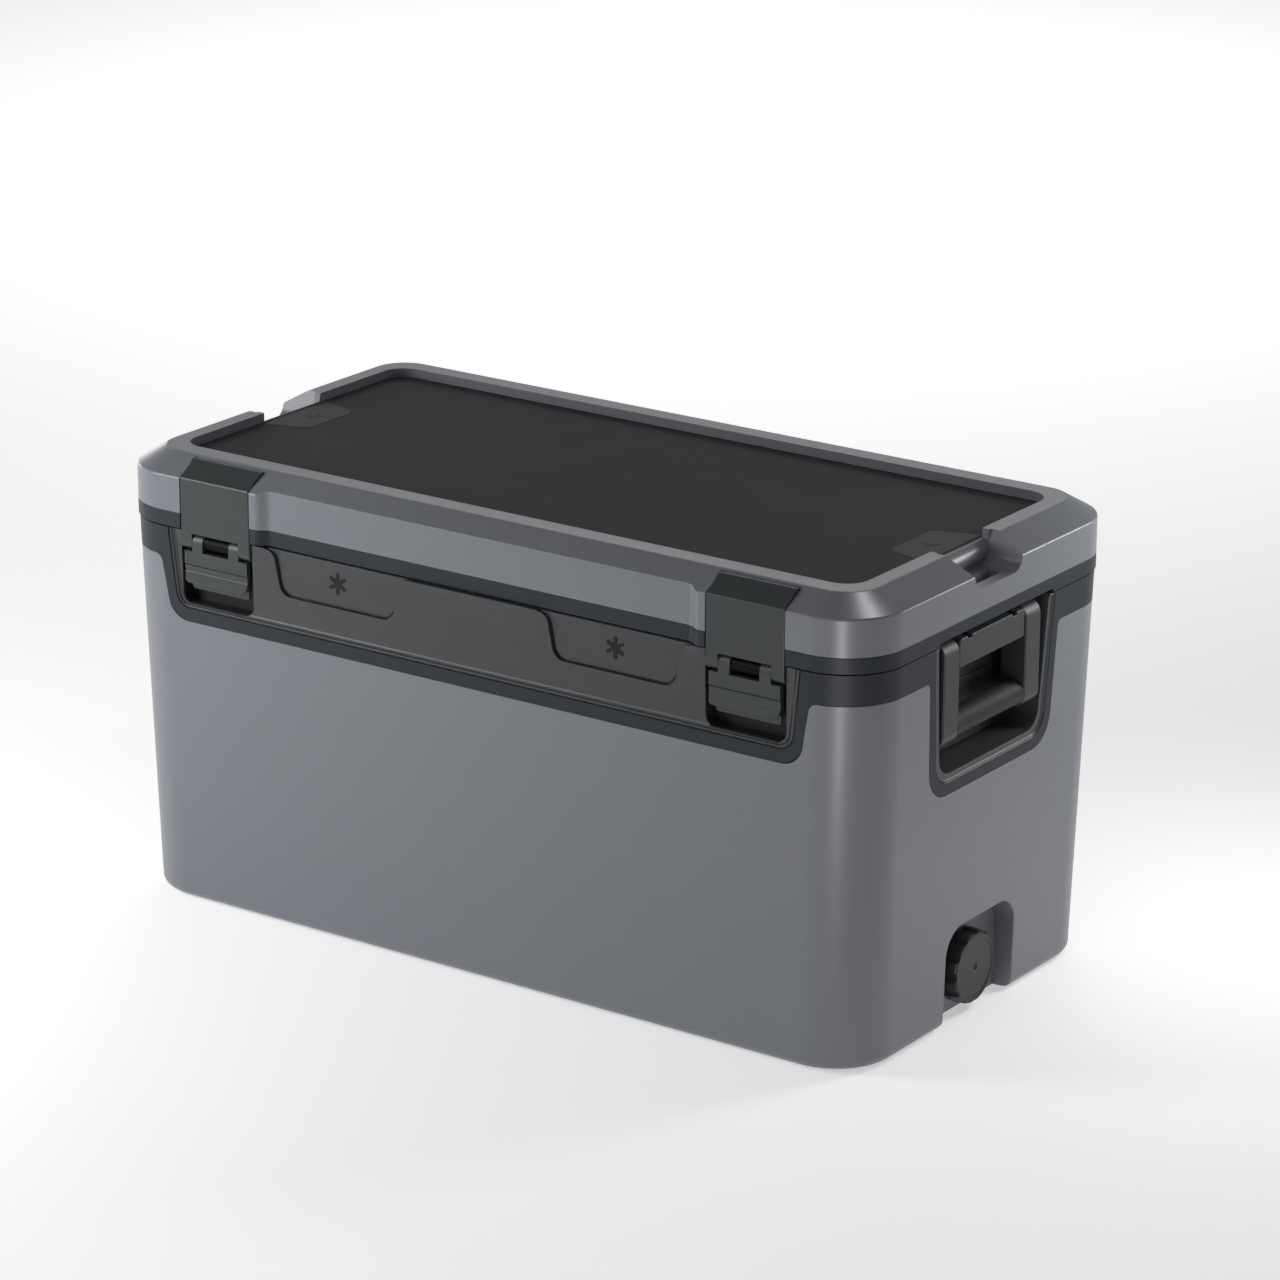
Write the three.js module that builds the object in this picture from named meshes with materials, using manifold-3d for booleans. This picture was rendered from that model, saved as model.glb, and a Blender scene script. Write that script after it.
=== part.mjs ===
// Hard-walled ice chest: insulated body, hinged insulated lid, two lid latches, two swing-up
// carrying handles and a screw-down drain cap.
// Millimetres, +Z up. The front faces -Y, the drain end faces +X, and the origin is on the floor
// under the middle of the chest.

import * as THREE from 'three';
import { mergeVertices } from 'three/addons/utils/BufferGeometryUtils.js';
import Module from 'manifold-3d';

const wasm = await Module();
wasm.setup();

// ---- overall size ----
const HALF_LENGTH = 400;
const HALF_DEPTH = 205.7;
const HEIGHT = 420.7;
const CORNER = 57;
const GAP = 0.3;
const BEYOND = 30; // how far a cutting tool runs past the surface that it cuts
const SIDES = [['left', -1], ['right', 1]];

// ---- body ----
const BODY_BOTTOM = 2;
const BODY_TOP = 357;
const BODY_STEP_IN = 0.8; // the body's faces stand this far inside the lid's
const DRAFT = 8.6; // the body narrows by this much on each side from its top to the floor
const BASE_ROUND = 8;
const SHELL_WALL = 4.5;
const SHELL_UPPER_WALL = 13;
const SHELL_TOP = 354.5;
const SHELL_TOP_PLATE = 5;
const UPPER_WALL_FROM = 198;
const UPPER_WALL_FULL = 210;

// ---- liner ----
const LINER_HALF_LENGTH = 347;
const LINER_HALF_DEPTH = 161;
const LINER_CORNER = 30;
const LINER_WALL = 3;
const LINER_DRAFT = 6;
const LINER_FLOOR = 28;
const LINER_TOP = 356;
const FLANGE_HALF_LENGTH = 356.6;
const FLANGE_HALF_DEPTH = 184;

// ---- collar and front panel ----
const COLLAR_BOTTOM = 330;
const COLLAR_THICKNESS = 8;
const FRONT_BACKING = -197.2; // plane that the apron and the panel rest on
const END_BACKING = 391;
const PANEL_STEP = 1; // the panel lies this far behind the body's faces
const APRON_TOP_HALF = 345;
const APRON_BOTTOM_HALF = 335;
const APRON_BOTTOM = 272;
const APRON_CORNER = 18;
const PANEL_TOP_HALF = 340;
const PANEL_BOTTOM_HALF = 328;
const PANEL_BOTTOM = 284;
const PANEL_CORNER = 13;
const END_APRON_TOP_HALF = 104;
const END_APRON_BOTTOM_HALF = 97;
const END_APRON_BOTTOM = 220.6;
const END_APRON_CORNER = 27;
const COVER_FRONT = -200.4;
const COVER_BACK = -198.9;
const COVER_MIDDLE = 148;
const COVER_TOP_HALF = 69.5;
const COVER_BOTTOM_HALF = 61.5;
const COVER_BOTTOM = 316;
const COVER_CORNER = 10;

// ---- handle pocket and handle ----
const POCKET_TOP_HALF = 97;
const POCKET_BOTTOM_HALF = 87;
const POCKET_BOTTOM = 231;
const POCKET_CORNER = 20;
const POCKET_BACK = 360;
const POCKET_WALL = 3;
const HANDLE_PIVOT_X = 384;
const HANDLE_PIVOT_Z = 342.5;
const ARM_RADIUS = 12.5;
const ARM_INNER = 54;
const ARM_OUTER = 78;
const GRIP_Z = 276;
const GRIP_RADIUS = 12.5;
const GRIP_CORE = 6;
const HANDLE_PIN_RADIUS = 3;
const BRACKET_HALF = 53;
const BRACKET_FRONT = 394;
const BRACKET_BOTTOM = 328;
const BRACKET_TOP = 356;
const BRACKET_SCREW_Y = 30;
const BRACKET_SCREW_Z = 334;
const BRACKET_SCREW_HOLE = 1.9;
const BRACKET_HEAD_HOLE = 4.2;
const BRACKET_HEAD_SEAT = 6; // from the back of the pocket
const BRACKET_NOTCH_Y = 36;
const BRACKET_NOTCH_HALF = 3;
const BRACKET_NOTCH_DEPTH = 5;

// ---- latch ----
const LATCH_X = 281.5;
const STRAP_HALF = 39;
const STRAP_FRONT = -HALF_DEPTH;
const STRAP_BACK = -200.2;
const STRAP_PIN_Y = -185.5;
const STRAP_PIN_Z = 414.8;
const STRAP_KNUCKLE = 4.4;
const STRAP_PIN_RADIUS = 1.3;
const STRAP_PIN_HALF = 43;
const LEVER_PIVOT_Y = -197.9;
const LEVER_PIVOT_Z = 347.5;
const LEVER_KNUCKLE = 7.8;
const LEVER_HALF = 35.5;
const LEVER_BOTTOM = 309;
const LEVER_PLATE_TOP = 339.3;
const EAR_INNER = 26.5;
const ROLLER_HALF = 16;
const LEVER_PIN_RADIUS = 2.5;
const WELL_HALF = 39.7;
const WELL_WALL = 2;
const WELL_BOTTOM = 290;
const WELL_BACK = -189;
const WELL_CORNER = 9;
const HOOK_HALF = 9;
const HOOK_BACK = -195.9;
const HOOK_BOTTOM = 312.4;
const HOOK_TOP = 316.2;
const KEEPER_HALF = 12;
const KEEPER_FRONT = -195.5;
const KEEPER_BOTTOM = 317;
const KEEPER_TOP = 323;

// ---- lid ----
const LID_BOTTOM = 358.2;
const TRIM_TOP = 372.2;
const TRIM_WIDTH = 14;
const LID_CREASE = 405.2;
const RIM_INSET = 26.9;
const MAT_HALF_LENGTH = 359;
const MAT_HALF_DEPTH = 161;
const MAT_CORNER = 22;
const MAT_TOP = 412;
const MAT_THICKNESS = 3;
const LID_WALL = 5;
const PLUG_HALF_LENGTH = 338;
const PLUG_HALF_DEPTH = 152;
const PLUG_BOTTOM = 346;
const PLUG_WALL = 3;
const GASKET_HALF_LENGTH = 349;
const GASKET_HALF_DEPTH = 166;
const GASKET_WIDTH = 6;
const LID_PAN_BOTTOM = 359.5;
const LID_PAN_THICKNESS = 3;
const NOTCH_FLOOR = 392;
const NOTCH_FROM = 364;
const NOTCH_TOP_HALF = 44;
const NOTCH_BOTTOM_HALF = 34;
const NOTCH_CORNER = 6;
const SLOT_FROM = 378;
const SLOT_TO = 389;
const SLOT_HALF = 21;
const SLOT_DEPTH = 10;
const RECESS_HALF = 224;
const RECESS_TOP_HALF = 217;
const RECESS_FACE = -199.7;
const RELIEF_FROM = 380;
const RELIEF_HALF = 92;
const RELIEF_TOP = 361;

// ---- rear hinge ----
const HINGE_Y = 198.7;
const HINGE_Z = 358;
const HINGE_KNUCKLE = 6.8;
const HINGE_PIN_RADIUS = 2.5;
const HINGE_X = 250;
const HINGE_HALF = 45;
const HINGE_LEAF = 2;
const HINGE_SPLIT = 15; // half the length of the middle knuckle
const HINGE_CLEAR = 0.9;
const REBATE_Y = 191.2;
const REBATE_FLOOR = 349.7;

// ---- drain ----
const DRAIN_Z = 40;
const DRAIN_FACE = 372;
const DRAIN_HALF = 56;
const DRAIN_TOP = 91;
const DRAIN_CORNER = 25;
const DRAIN_BORE = 7;
const DRAIN_TUBE = 9.4;
const DRAIN_NUT = 11.6;
const CAP_FRONT = 388;
const CAP_FLUTES = 12;
const CAP_FLUTE_RADIUS = 4.6;
const CAP_FLUTE_CIRCLE = 35.5;
const DRAIN_FLANGE = 19;

// Feet
const FOOT_X = 330;
const FOOT_Y = 140;
const FOOT_RADIUS = 16;
const FOOT_HEIGHT = 5;
const FOOT_PLACES = [[-1, -1], [1, -1], [-1, 1], [1, 1]];
const FOOT_NAMES = ['foot_front_left', 'foot_front_right', 'foot_rear_left', 'foot_rear_right'];

// ---- finishes ----
const finish = (color, roughness, metalness = 0) =>
  new THREE.MeshStandardMaterial({ color, roughness, metalness });
const GREY_SHELL = finish(0x7f828a, 0.62);
const NAVY_TRIM = finish(0x32373f, 0.55);
const DARK_PANEL = finish(0x48494c, 0.6);
const MAT_RUBBER = finish(0x3a3b3d, 0.9);
const LATCH_PLASTIC = finish(0x505356, 0.6);
const HANDLE_PLASTIC = finish(0x43464a, 0.6);
const GRIP_RUBBER = finish(0x2c2e30, 0.85);
const LINER_WHITE = finish(0xdfe1e3, 0.5);
const FOAM = finish(0xe0d6a8, 0.95);
const STEEL = finish(0xb9bdc1, 0.35, 1);
const GLOSS_BLACK = finish(0x1d1f21, 0.25);
const SEAL_RUBBER = finish(0x6d7073, 0.9);

// ---------------------------------------------------------------- solids

function toSolid(geometry) {
  const bare = new THREE.BufferGeometry();
  bare.setAttribute('position', geometry.attributes.position);
  bare.setIndex(geometry.index);
  const merged = mergeVertices(bare, 1e-4);
  const corners = merged.index.array;
  const triangles = [];
  for (let i = 0; i < corners.length; i += 3) {
    const [a, b, c] = [corners[i], corners[i + 1], corners[i + 2]];
    if (a !== b && b !== c && c !== a) triangles.push(a, b, c);
  }
  const mesh = new wasm.Mesh({
    numProp: 3,
    vertProperties: Float32Array.from(merged.attributes.position.array),
    triVerts: Uint32Array.from(triangles),
  });
  return new wasm.Manifold(mesh);
}

function toGeometry(solid) {
  const mesh = solid.getMesh();
  const geometry = new THREE.BufferGeometry();
  geometry.setAttribute('position', new THREE.BufferAttribute(mesh.vertProperties, 3));
  geometry.setIndex(new THREE.BufferAttribute(mesh.triVerts, 1));
  geometry.computeVertexNormals();
  return geometry;
}

const join = (...solids) => solids.reduce((whole, next) => whole.add(next));
const cut = (solid, ...tools) => tools.reduce((rest, tool) => rest.subtract(tool), solid);

function block(x0, x1, y0, y1, z0, z1) {
  const geometry = new THREE.BoxGeometry(x1 - x0, y1 - y0, z1 - z0);
  geometry.translate((x0 + x1) / 2, (y0 + y1) / 2, (z0 + z1) / 2);
  return toSolid(geometry);
}

function roundedRectangle(halfWidth, halfHeight, radius) {
  const w = halfWidth - radius;
  const h = halfHeight - radius;
  const shape = new THREE.Shape();
  shape.absarc(w, h, radius, 0, Math.PI / 2);
  shape.absarc(-w, h, radius, Math.PI / 2, Math.PI);
  shape.absarc(-w, -h, radius, Math.PI, 1.5 * Math.PI);
  shape.absarc(w, -h, radius, 1.5 * Math.PI, 2 * Math.PI);
  return shape;
}

// An upright block with a rounded-rectangle plan. Each level is [height, inset], and the inset
// moves every side in by that much at that height.
function layeredBlock(halfLength, halfDepth, radius, levels) {
  const steps = levels.length - 1;
  const plan = roundedRectangle(halfLength, halfDepth, radius);
  const options = { depth: steps, steps, bevelEnabled: false, curveSegments: 3 };
  const geometry = new THREE.ExtrudeGeometry(plan, options);
  const position = geometry.attributes.position;
  for (let i = 0; i < position.count; i += 1) {
    const [height, inset] = levels[Math.round(position.getZ(i))];
    const x = position.getX(i);
    const y = position.getY(i);
    position.setXYZ(i, x - Math.sign(x) * inset, y - Math.sign(y) * inset, height);
  }
  return toSolid(geometry);
}

// A prism that faces the front: the shape is drawn in (x, z) and runs from y0 forward to y1.
function frontPrism(shape, y0, y1) {
  const options = { depth: y0 - y1, bevelEnabled: false, curveSegments: 2 };
  const geometry = new THREE.ExtrudeGeometry(shape, options);
  geometry.rotateX(Math.PI / 2);
  geometry.translate(0, y0, 0);
  return toSolid(geometry);
}

// A prism along X: the shape is drawn in (y, z) and runs from x0 to x1.
function sidePrism(shape, x0, x1) {
  const geometry = new THREE.ExtrudeGeometry(shape, {
    depth: x1 - x0,
    bevelEnabled: false,
    curveSegments: 2,
  });
  const turn = new THREE.Matrix4().makeBasis(
    new THREE.Vector3(0, 1, 0),
    new THREE.Vector3(0, 0, 1),
    new THREE.Vector3(1, 0, 0),
  );
  geometry.applyMatrix4(turn);
  geometry.translate(x0, 0, 0);
  return toSolid(geometry);
}

function rodAlongX(radius, x0, x1, y, z, facets = 16) {
  const geometry = new THREE.CylinderGeometry(radius, radius, x1 - x0, facets);
  geometry.rotateZ(Math.PI / 2);
  geometry.translate((x0 + x1) / 2, y, z);
  return toSolid(geometry);
}

function rodAlongY(radius, y0, y1, x, z, facets = 16) {
  const geometry = new THREE.CylinderGeometry(radius, radius, y1 - y0, facets);
  geometry.translate(x, (y0 + y1) / 2, z);
  return toSolid(geometry);
}

// A turned piece whose axis is parallel to X. Its outline is a list of [x, radius].
function turnedAlongX(outline, y, z, facets) {
  const points = outline.map(([along, radius]) => new THREE.Vector2(radius, along));
  const geometry = new THREE.LatheGeometry(points, facets);
  geometry.rotateZ(-Math.PI / 2);
  geometry.translate(0, y, z);
  return toSolid(geometry);
}

function polygon(points) {
  return new THREE.Shape(points.map(([u, v]) => new THREE.Vector2(u, v)));
}

// A trapezoid, wide at the top, with its two lower corners rounded. `middle` is its centre line.
function bucketOutline(topHalf, bottomHalf, top, bottom, radius, middle = 0) {
  const shape = new THREE.Shape();
  shape.moveTo(middle - topHalf, top);
  shape.lineTo(middle - bottomHalf, bottom + radius);
  shape.quadraticCurveTo(middle - bottomHalf, bottom, middle - bottomHalf + radius, bottom);
  shape.lineTo(middle + bottomHalf - radius, bottom);
  shape.quadraticCurveTo(middle + bottomHalf, bottom, middle + bottomHalf, bottom + radius);
  shape.lineTo(middle + topHalf, top);
  return shape;
}

// A rod along X on either end of the chest, from x0 out to x1.
function endRod(side, radius, x0, x1, y, z, facets = 16) {
  return side > 0 ? rodAlongX(radius, x0, x1, y, z, facets) : rodAlongX(radius, -x1, -x0, y, z, facets);
}

// A prism on either end of the chest, from x0 out to x1.
function endPrism(shape, side, x0, x1) {
  return side > 0 ? sidePrism(shape, x0, x1) : sidePrism(shape, -x1, -x0);
}

function endBlock(side, x0, x1, y0, y1, z0, z1) {
  return side > 0 ? block(x0, x1, y0, y1, z0, z1) : block(-x1, -x0, y0, y1, z0, z1);
}

// ---------------------------------------------------------------- shared outlines

const bodyInset = (z) => BODY_STEP_IN + (DRAFT * (BODY_TOP - z)) / BODY_TOP;

const bodyBlock = (levels) => layeredBlock(HALF_LENGTH, HALF_DEPTH, CORNER, levels);

const bodyEnvelope = bodyBlock([
  [BODY_BOTTOM, bodyInset(BODY_BOTTOM) + BASE_ROUND],
  [BODY_BOTTOM + BASE_ROUND * 0.3, bodyInset(BODY_BOTTOM) + BASE_ROUND * 0.3],
  [BODY_BOTTOM + BASE_ROUND, bodyInset(BODY_BOTTOM + BASE_ROUND)],
  [BODY_TOP, bodyInset(BODY_TOP)],
]);

// Opening for a handle, from the given depth outward; `grow` widens it.
function handlePocketTool(side, depth, grow) {
  const outline = bucketOutline(
    POCKET_TOP_HALF + grow,
    POCKET_BOTTOM_HALF + grow,
    BODY_TOP + BEYOND,
    POCKET_BOTTOM - grow,
    POCKET_CORNER + grow,
  );
  return endPrism(outline, side, depth, HALF_LENGTH + BEYOND);
}

// The U-shaped outline of the collar's apron round a handle.
function handleApronTool(side, grow) {
  const outline = bucketOutline(
    END_APRON_TOP_HALF + grow,
    END_APRON_BOTTOM_HALF + grow,
    COLLAR_BOTTOM + 2,
    END_APRON_BOTTOM - grow,
    END_APRON_CORNER,
  );
  return endPrism(outline, side, END_BACKING, HALF_LENGTH + BEYOND);
}

// The U-shaped outline of the collar's apron on the front.
function frontApronTool(grow) {
  const outline = bucketOutline(
    APRON_TOP_HALF + grow,
    APRON_BOTTOM_HALF + grow,
    COLLAR_BOTTOM + 2,
    APRON_BOTTOM - grow,
    APRON_CORNER,
  );
  return frontPrism(outline, FRONT_BACKING, -HALF_DEPTH - BEYOND);
}

// The U-shaped opening of that apron, which runs up to the top of the body.
function frontPanelTool(shrink) {
  const outline = bucketOutline(
    PANEL_TOP_HALF - shrink,
    PANEL_BOTTOM_HALF - shrink,
    BODY_TOP + BEYOND,
    PANEL_BOTTOM + shrink,
    PANEL_CORNER,
  );
  return frontPrism(outline, FRONT_BACKING, -HALF_DEPTH - BEYOND);
}

// Well in the front in which a latch's lever lies; `grow` adds the wall around it.
function latchWellTool(side, grow) {
  const half = WELL_HALF + grow;
  const bottom = WELL_BOTTOM - grow;
  const outline = bucketOutline(half, half, BODY_TOP + BEYOND, bottom, WELL_CORNER, side * LATCH_X);
  return frontPrism(outline, WELL_BACK + grow, -HALF_DEPTH - BEYOND);
}

// Shallow pocket in the front panel; `shrink` gives the cover that lies in it.
function accessoryTool(side, shrink, y0, y1) {
  const outline = bucketOutline(
    COVER_TOP_HALF - shrink,
    COVER_BOTTOM_HALF - shrink,
    BODY_TOP - shrink,
    COVER_BOTTOM + shrink,
    COVER_CORNER,
    side * COVER_MIDDLE,
  );
  return frontPrism(outline, y0, y1);
}

// Recess round the drain, open downwards.
function drainRecessTool(grow) {
  const half = DRAIN_HALF + grow;
  const top = DRAIN_TOP + grow;
  const radius = DRAIN_CORNER;
  const outline = new THREE.Shape();
  outline.moveTo(-half, -BEYOND);
  outline.lineTo(half, -BEYOND);
  outline.lineTo(half, top - radius);
  outline.absarc(half - radius, top - radius, radius, 0, Math.PI / 2);
  outline.lineTo(radius - half, top);
  outline.absarc(radius - half, top - radius, radius, Math.PI / 2, Math.PI);
  return sidePrism(outline, DRAIN_FACE - grow, HALF_LENGTH + BEYOND);
}

const rearRebateTool = (grow) =>
  block(-HALF_LENGTH, HALF_LENGTH, REBATE_Y - grow, HALF_DEPTH + BEYOND, REBATE_FLOOR - grow, HEIGHT);

// Room for a rear hinge in the body, up to any height, or in the lid.
function hingeRoom(side, z0, z1) {
  const [x0, x1] = [side * HINGE_X - HINGE_HALF - GAP, side * HINGE_X + HINGE_HALF + GAP];
  return block(x0, x1, REBATE_Y, HALF_DEPTH + BEYOND, z0, z1);
}

const HINGE_REACH = HINGE_KNUCKLE + HINGE_LEAF + HINGE_CLEAR;
const hingeSeatTool = (side) => hingeRoom(side, HINGE_Z - HINGE_REACH, HEIGHT);
const lidHingeSeatTool = (side) => hingeRoom(side, 0, HINGE_Z + HINGE_REACH);

// ---------------------------------------------------------------- body pieces

const onBothSides = (tool) => SIDES.map(([, side]) => tool(side));

function makeOuterShell() {
  const shelf = COLLAR_BOTTOM - GAP;
  const under = COLLAR_THICKNESS + GAP;
  const outside = bodyBlock([
    [BODY_BOTTOM, bodyInset(BODY_BOTTOM) + BASE_ROUND],
    [BODY_BOTTOM + BASE_ROUND * 0.3, bodyInset(BODY_BOTTOM) + BASE_ROUND * 0.3],
    [BODY_BOTTOM + BASE_ROUND, bodyInset(BODY_BOTTOM + BASE_ROUND)],
    [shelf, bodyInset(shelf)],
    [shelf, bodyInset(shelf) + under],
    [SHELL_TOP, bodyInset(SHELL_TOP) + under],
  ]);
  const skinned = cut(
    outside,
    frontApronTool(GAP).translate([0, GAP, 0]),
    ...onBothSides((side) => handleApronTool(side, GAP).translate([-side * GAP, 0, 0])),
    drainRecessTool(0),
    rearRebateTool(0),
    ...onBothSides(hingeSeatTool),
  );
  const openings = [
    layeredBlock(LINER_HALF_LENGTH + GAP, LINER_HALF_DEPTH + GAP, LINER_CORNER, [
      [SHELL_TOP - SHELL_TOP_PLATE - 1, 0],
      [SHELL_TOP + 1, 0],
    ]),
    ...onBothSides((side) => latchWellTool(side, WELL_WALL + GAP)),
    ...onBothSides((side) => handlePocketTool(side, POCKET_BACK - POCKET_WALL - GAP, 0)),
    rodAlongX(DRAIN_TUBE + GAP, DRAIN_FACE - BEYOND, DRAIN_FACE + 1, 0, DRAIN_Z),
    ...footTools(GAP),
  ];
  return cut(skinned, makeBodyCavity(0), ...openings);
}

// The space between the shell's walls, which the foam fills less `shrink` all round.
function makeBodyCavity(shrink) {
  const low = BODY_BOTTOM + SHELL_WALL + shrink;
  const high = SHELL_TOP - SHELL_TOP_PLATE - shrink;
  const inside = bodyBlock([
    [low, bodyInset(low) + BASE_ROUND + SHELL_WALL + shrink],
    [low + BASE_ROUND, bodyInset(low) + SHELL_WALL + shrink],
    [UPPER_WALL_FROM, bodyInset(UPPER_WALL_FROM) + SHELL_WALL + shrink],
    [UPPER_WALL_FULL, bodyInset(UPPER_WALL_FULL) + SHELL_UPPER_WALL + shrink],
    [high, bodyInset(high) + SHELL_UPPER_WALL + shrink],
  ]);
  return cut(
    inside,
    drainRecessTool(SHELL_WALL + shrink),
    rearRebateTool(SHELL_WALL + shrink),
    ...footTools(SHELL_WALL - 1.5),
  );
}

function linerBlock(grow, bottom, top) {
  return layeredBlock(LINER_HALF_LENGTH + grow, LINER_HALF_DEPTH + grow, LINER_CORNER, [
    [bottom, LINER_DRAFT],
    [top, 0],
  ]);
}

function makeBodyFoam() {
  return cut(
    makeBodyCavity(GAP),
    linerBlock(GAP, LINER_FLOOR - LINER_WALL - GAP, SHELL_TOP),
    ...onBothSides((side) => latchWellTool(side, WELL_WALL + GAP)),
    ...onBothSides((side) => handlePocketTool(side, POCKET_BACK - POCKET_WALL - GAP, GAP)),
    rodAlongX(DRAIN_TUBE + GAP, LINER_HALF_LENGTH - BEYOND, DRAIN_FACE, 0, DRAIN_Z),
    ...onBothSides((side) => bracketScrewHoles(side, BRACKET_SCREW_HOLE, POCKET_BACK - 12, POCKET_BACK + 1)),
  );
}

function makeInnerLiner() {
  const flange = layeredBlock(FLANGE_HALF_LENGTH, FLANGE_HALF_DEPTH, CORNER - 12, [
    [SHELL_TOP + GAP, 0],
    [LINER_TOP, 0],
  ]);
  return cut(
    join(linerBlock(0, LINER_FLOOR - LINER_WALL, LINER_TOP), flange),
    linerBlock(-LINER_WALL, LINER_FLOOR, LINER_TOP + 1),
    rodAlongX(DRAIN_TUBE + GAP, LINER_HALF_LENGTH - BEYOND, LINER_HALF_LENGTH + BEYOND, 0, DRAIN_Z),
  );
}

function makeBodyCollar() {
  const ringOutside = bodyBlock([
    [COLLAR_BOTTOM, bodyInset(COLLAR_BOTTOM)],
    [BODY_TOP, bodyInset(BODY_TOP)],
  ]);
  const ringInside = bodyBlock([
    [COLLAR_BOTTOM - 1, bodyInset(COLLAR_BOTTOM - 1) + COLLAR_THICKNESS],
    [BODY_TOP + 1, bodyInset(BODY_TOP + 1) + COLLAR_THICKNESS],
  ]);
  const aprons = join(frontApronTool(0), ...onBothSides((side) => handleApronTool(side, 0)));
  return cut(
    join(cut(ringOutside, ringInside), cut(aprons.intersect(bodyEnvelope), ringInside)),
    frontPanelTool(0).translate([0, BEYOND, 0]).add(frontPanelTool(0)),
    ...onBothSides((side) => handlePocketTool(side, POCKET_BACK, 0)),
    rearRebateTool(0),
    ...onBothSides(hingeSeatTool),
  );
}

const panelFace = bodyBlock([
  [BODY_BOTTOM, bodyInset(BODY_BOTTOM) + PANEL_STEP],
  [BODY_TOP, bodyInset(BODY_TOP) + PANEL_STEP],
]);

function makeFrontPanel() {
  return cut(
    frontPanelTool(GAP).intersect(panelFace),
    ...onBothSides((side) => latchWellTool(side, WELL_WALL + GAP)),
    ...onBothSides((side) => accessoryTool(side, 0, COVER_BACK + GAP, -HALF_DEPTH - BEYOND)),
  );
}

const makeLatchWell = (side) =>
  cut(latchWellTool(side, WELL_WALL).intersect(panelFace), latchWellTool(side, 0));

const makeAccessoryCover = (side) => accessoryTool(side, GAP, COVER_BACK, COVER_FRONT);

function footSolid([sx, sy], bottom, grow) {
  const height = FOOT_HEIGHT + grow - bottom;
  const geometry = new THREE.CylinderGeometry(FOOT_RADIUS + grow, FOOT_RADIUS + grow, height, 12);
  geometry.rotateX(Math.PI / 2);
  geometry.translate(sx * FOOT_X, sy * FOOT_Y, bottom + height / 2);
  return toSolid(geometry);
}

function footTools(grow) {
  return FOOT_PLACES.map((place) => footSolid(place, -1, grow));
}

// ---------------------------------------------------------------- handles

function makeHandlePocket(side) {
  const outside = handlePocketTool(side, POCKET_BACK - POCKET_WALL, -GAP).intersect(bodyEnvelope);
  return cut(
    outside,
    handlePocketTool(side, POCKET_BACK, -POCKET_WALL),
    bracketScrewHoles(side, BRACKET_SCREW_HOLE, POCKET_BACK - BEYOND, POCKET_BACK + 1),
  );
}

function bracketScrewHoles(side, radius, x0, x1) {
  return join(...[-1, 1].map((hand) =>
    endRod(side, radius, x0, x1, hand * BRACKET_SCREW_Y, BRACKET_SCREW_Z)));
}

function makeHandleBracket(side) {
  const back = POCKET_BACK + GAP;
  const ahead = BRACKET_FRONT + 1;
  const notchFloor = BRACKET_TOP - BRACKET_NOTCH_DEPTH;
  const notches = [-1, 1].map((hand) => {
    const middle = hand * BRACKET_NOTCH_Y;
    const [y0, y1] = [middle - BRACKET_NOTCH_HALF, middle + BRACKET_NOTCH_HALF];
    return endBlock(side, POCKET_BACK + 20, ahead, y0, y1, notchFloor, BRACKET_TOP + 1);
  });
  const pinHole = rodAlongY(
    HANDLE_PIN_RADIUS + GAP,
    -BRACKET_HALF - 1,
    BRACKET_HALF + 1,
    side * HANDLE_PIVOT_X,
    HANDLE_PIVOT_Z,
  );
  return cut(
    endBlock(side, back, BRACKET_FRONT, -BRACKET_HALF, BRACKET_HALF, BRACKET_BOTTOM, BRACKET_TOP),
    bracketScrewHoles(side, BRACKET_SCREW_HOLE, POCKET_BACK, ahead),
    bracketScrewHoles(side, BRACKET_HEAD_HOLE, POCKET_BACK + BRACKET_HEAD_SEAT, ahead),
    ...notches,
    pinHole,
  );
}

function makeBracketScrew(side, hand) {
  const y = hand * BRACKET_SCREW_Y;
  const seat = POCKET_BACK + BRACKET_HEAD_SEAT + GAP;
  const shank = endRod(side, BRACKET_SCREW_HOLE - GAP, POCKET_BACK - 8, seat + 1, y, BRACKET_SCREW_Z, 12);
  return join(shank, endRod(side, BRACKET_HEAD_HOLE - GAP, seat, seat + 3, y, BRACKET_SCREW_Z, 12));
}

function makeHandleFrame(side) {
  const x = side * HANDLE_PIVOT_X;
  const bottom = GRIP_Z - GRIP_RADIUS - 1.5;
  const arms = [-1, 1].map((hand) => {
    const [y0, y1] = [hand * ARM_INNER, hand * ARM_OUTER].sort((a, b) => a - b);
    return join(
      rodAlongY(ARM_RADIUS, y0, y1, x, HANDLE_PIVOT_Z, 24),
      block(x - ARM_RADIUS, x + ARM_RADIUS, y0, y1, bottom, HANDLE_PIVOT_Z),
    );
  });
  const core = rodAlongY(GRIP_CORE, -ARM_INNER - 1, ARM_INNER + 1, x, GRIP_Z);
  const pinHole = rodAlongY(HANDLE_PIN_RADIUS + GAP, -ARM_OUTER + 5, ARM_OUTER - 5, x, HANDLE_PIVOT_Z);
  return cut(join(...arms, core), pinHole);
}

function makeHandleGrip(side) {
  const x = side * HANDLE_PIVOT_X;
  const half = ARM_INNER - GAP;
  return cut(
    rodAlongY(GRIP_RADIUS, -half, half, x, GRIP_Z, 24),
    rodAlongY(GRIP_CORE + GAP, -half - 1, half + 1, x, GRIP_Z),
  );
}

const makeHandlePin = (side) =>
  rodAlongY(HANDLE_PIN_RADIUS, -ARM_OUTER + 6, ARM_OUTER - 6, side * HANDLE_PIVOT_X, HANDLE_PIVOT_Z, 12);

// ---------------------------------------------------------------- latches

const acrossLatch = (side, half) => [side * LATCH_X - half, side * LATCH_X + half];

function latchRod(side, radius, half, y, z, facets) {
  const [x0, x1] = acrossLatch(side, half);
  return rodAlongX(radius, x0, x1, y, z, facets);
}

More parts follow.
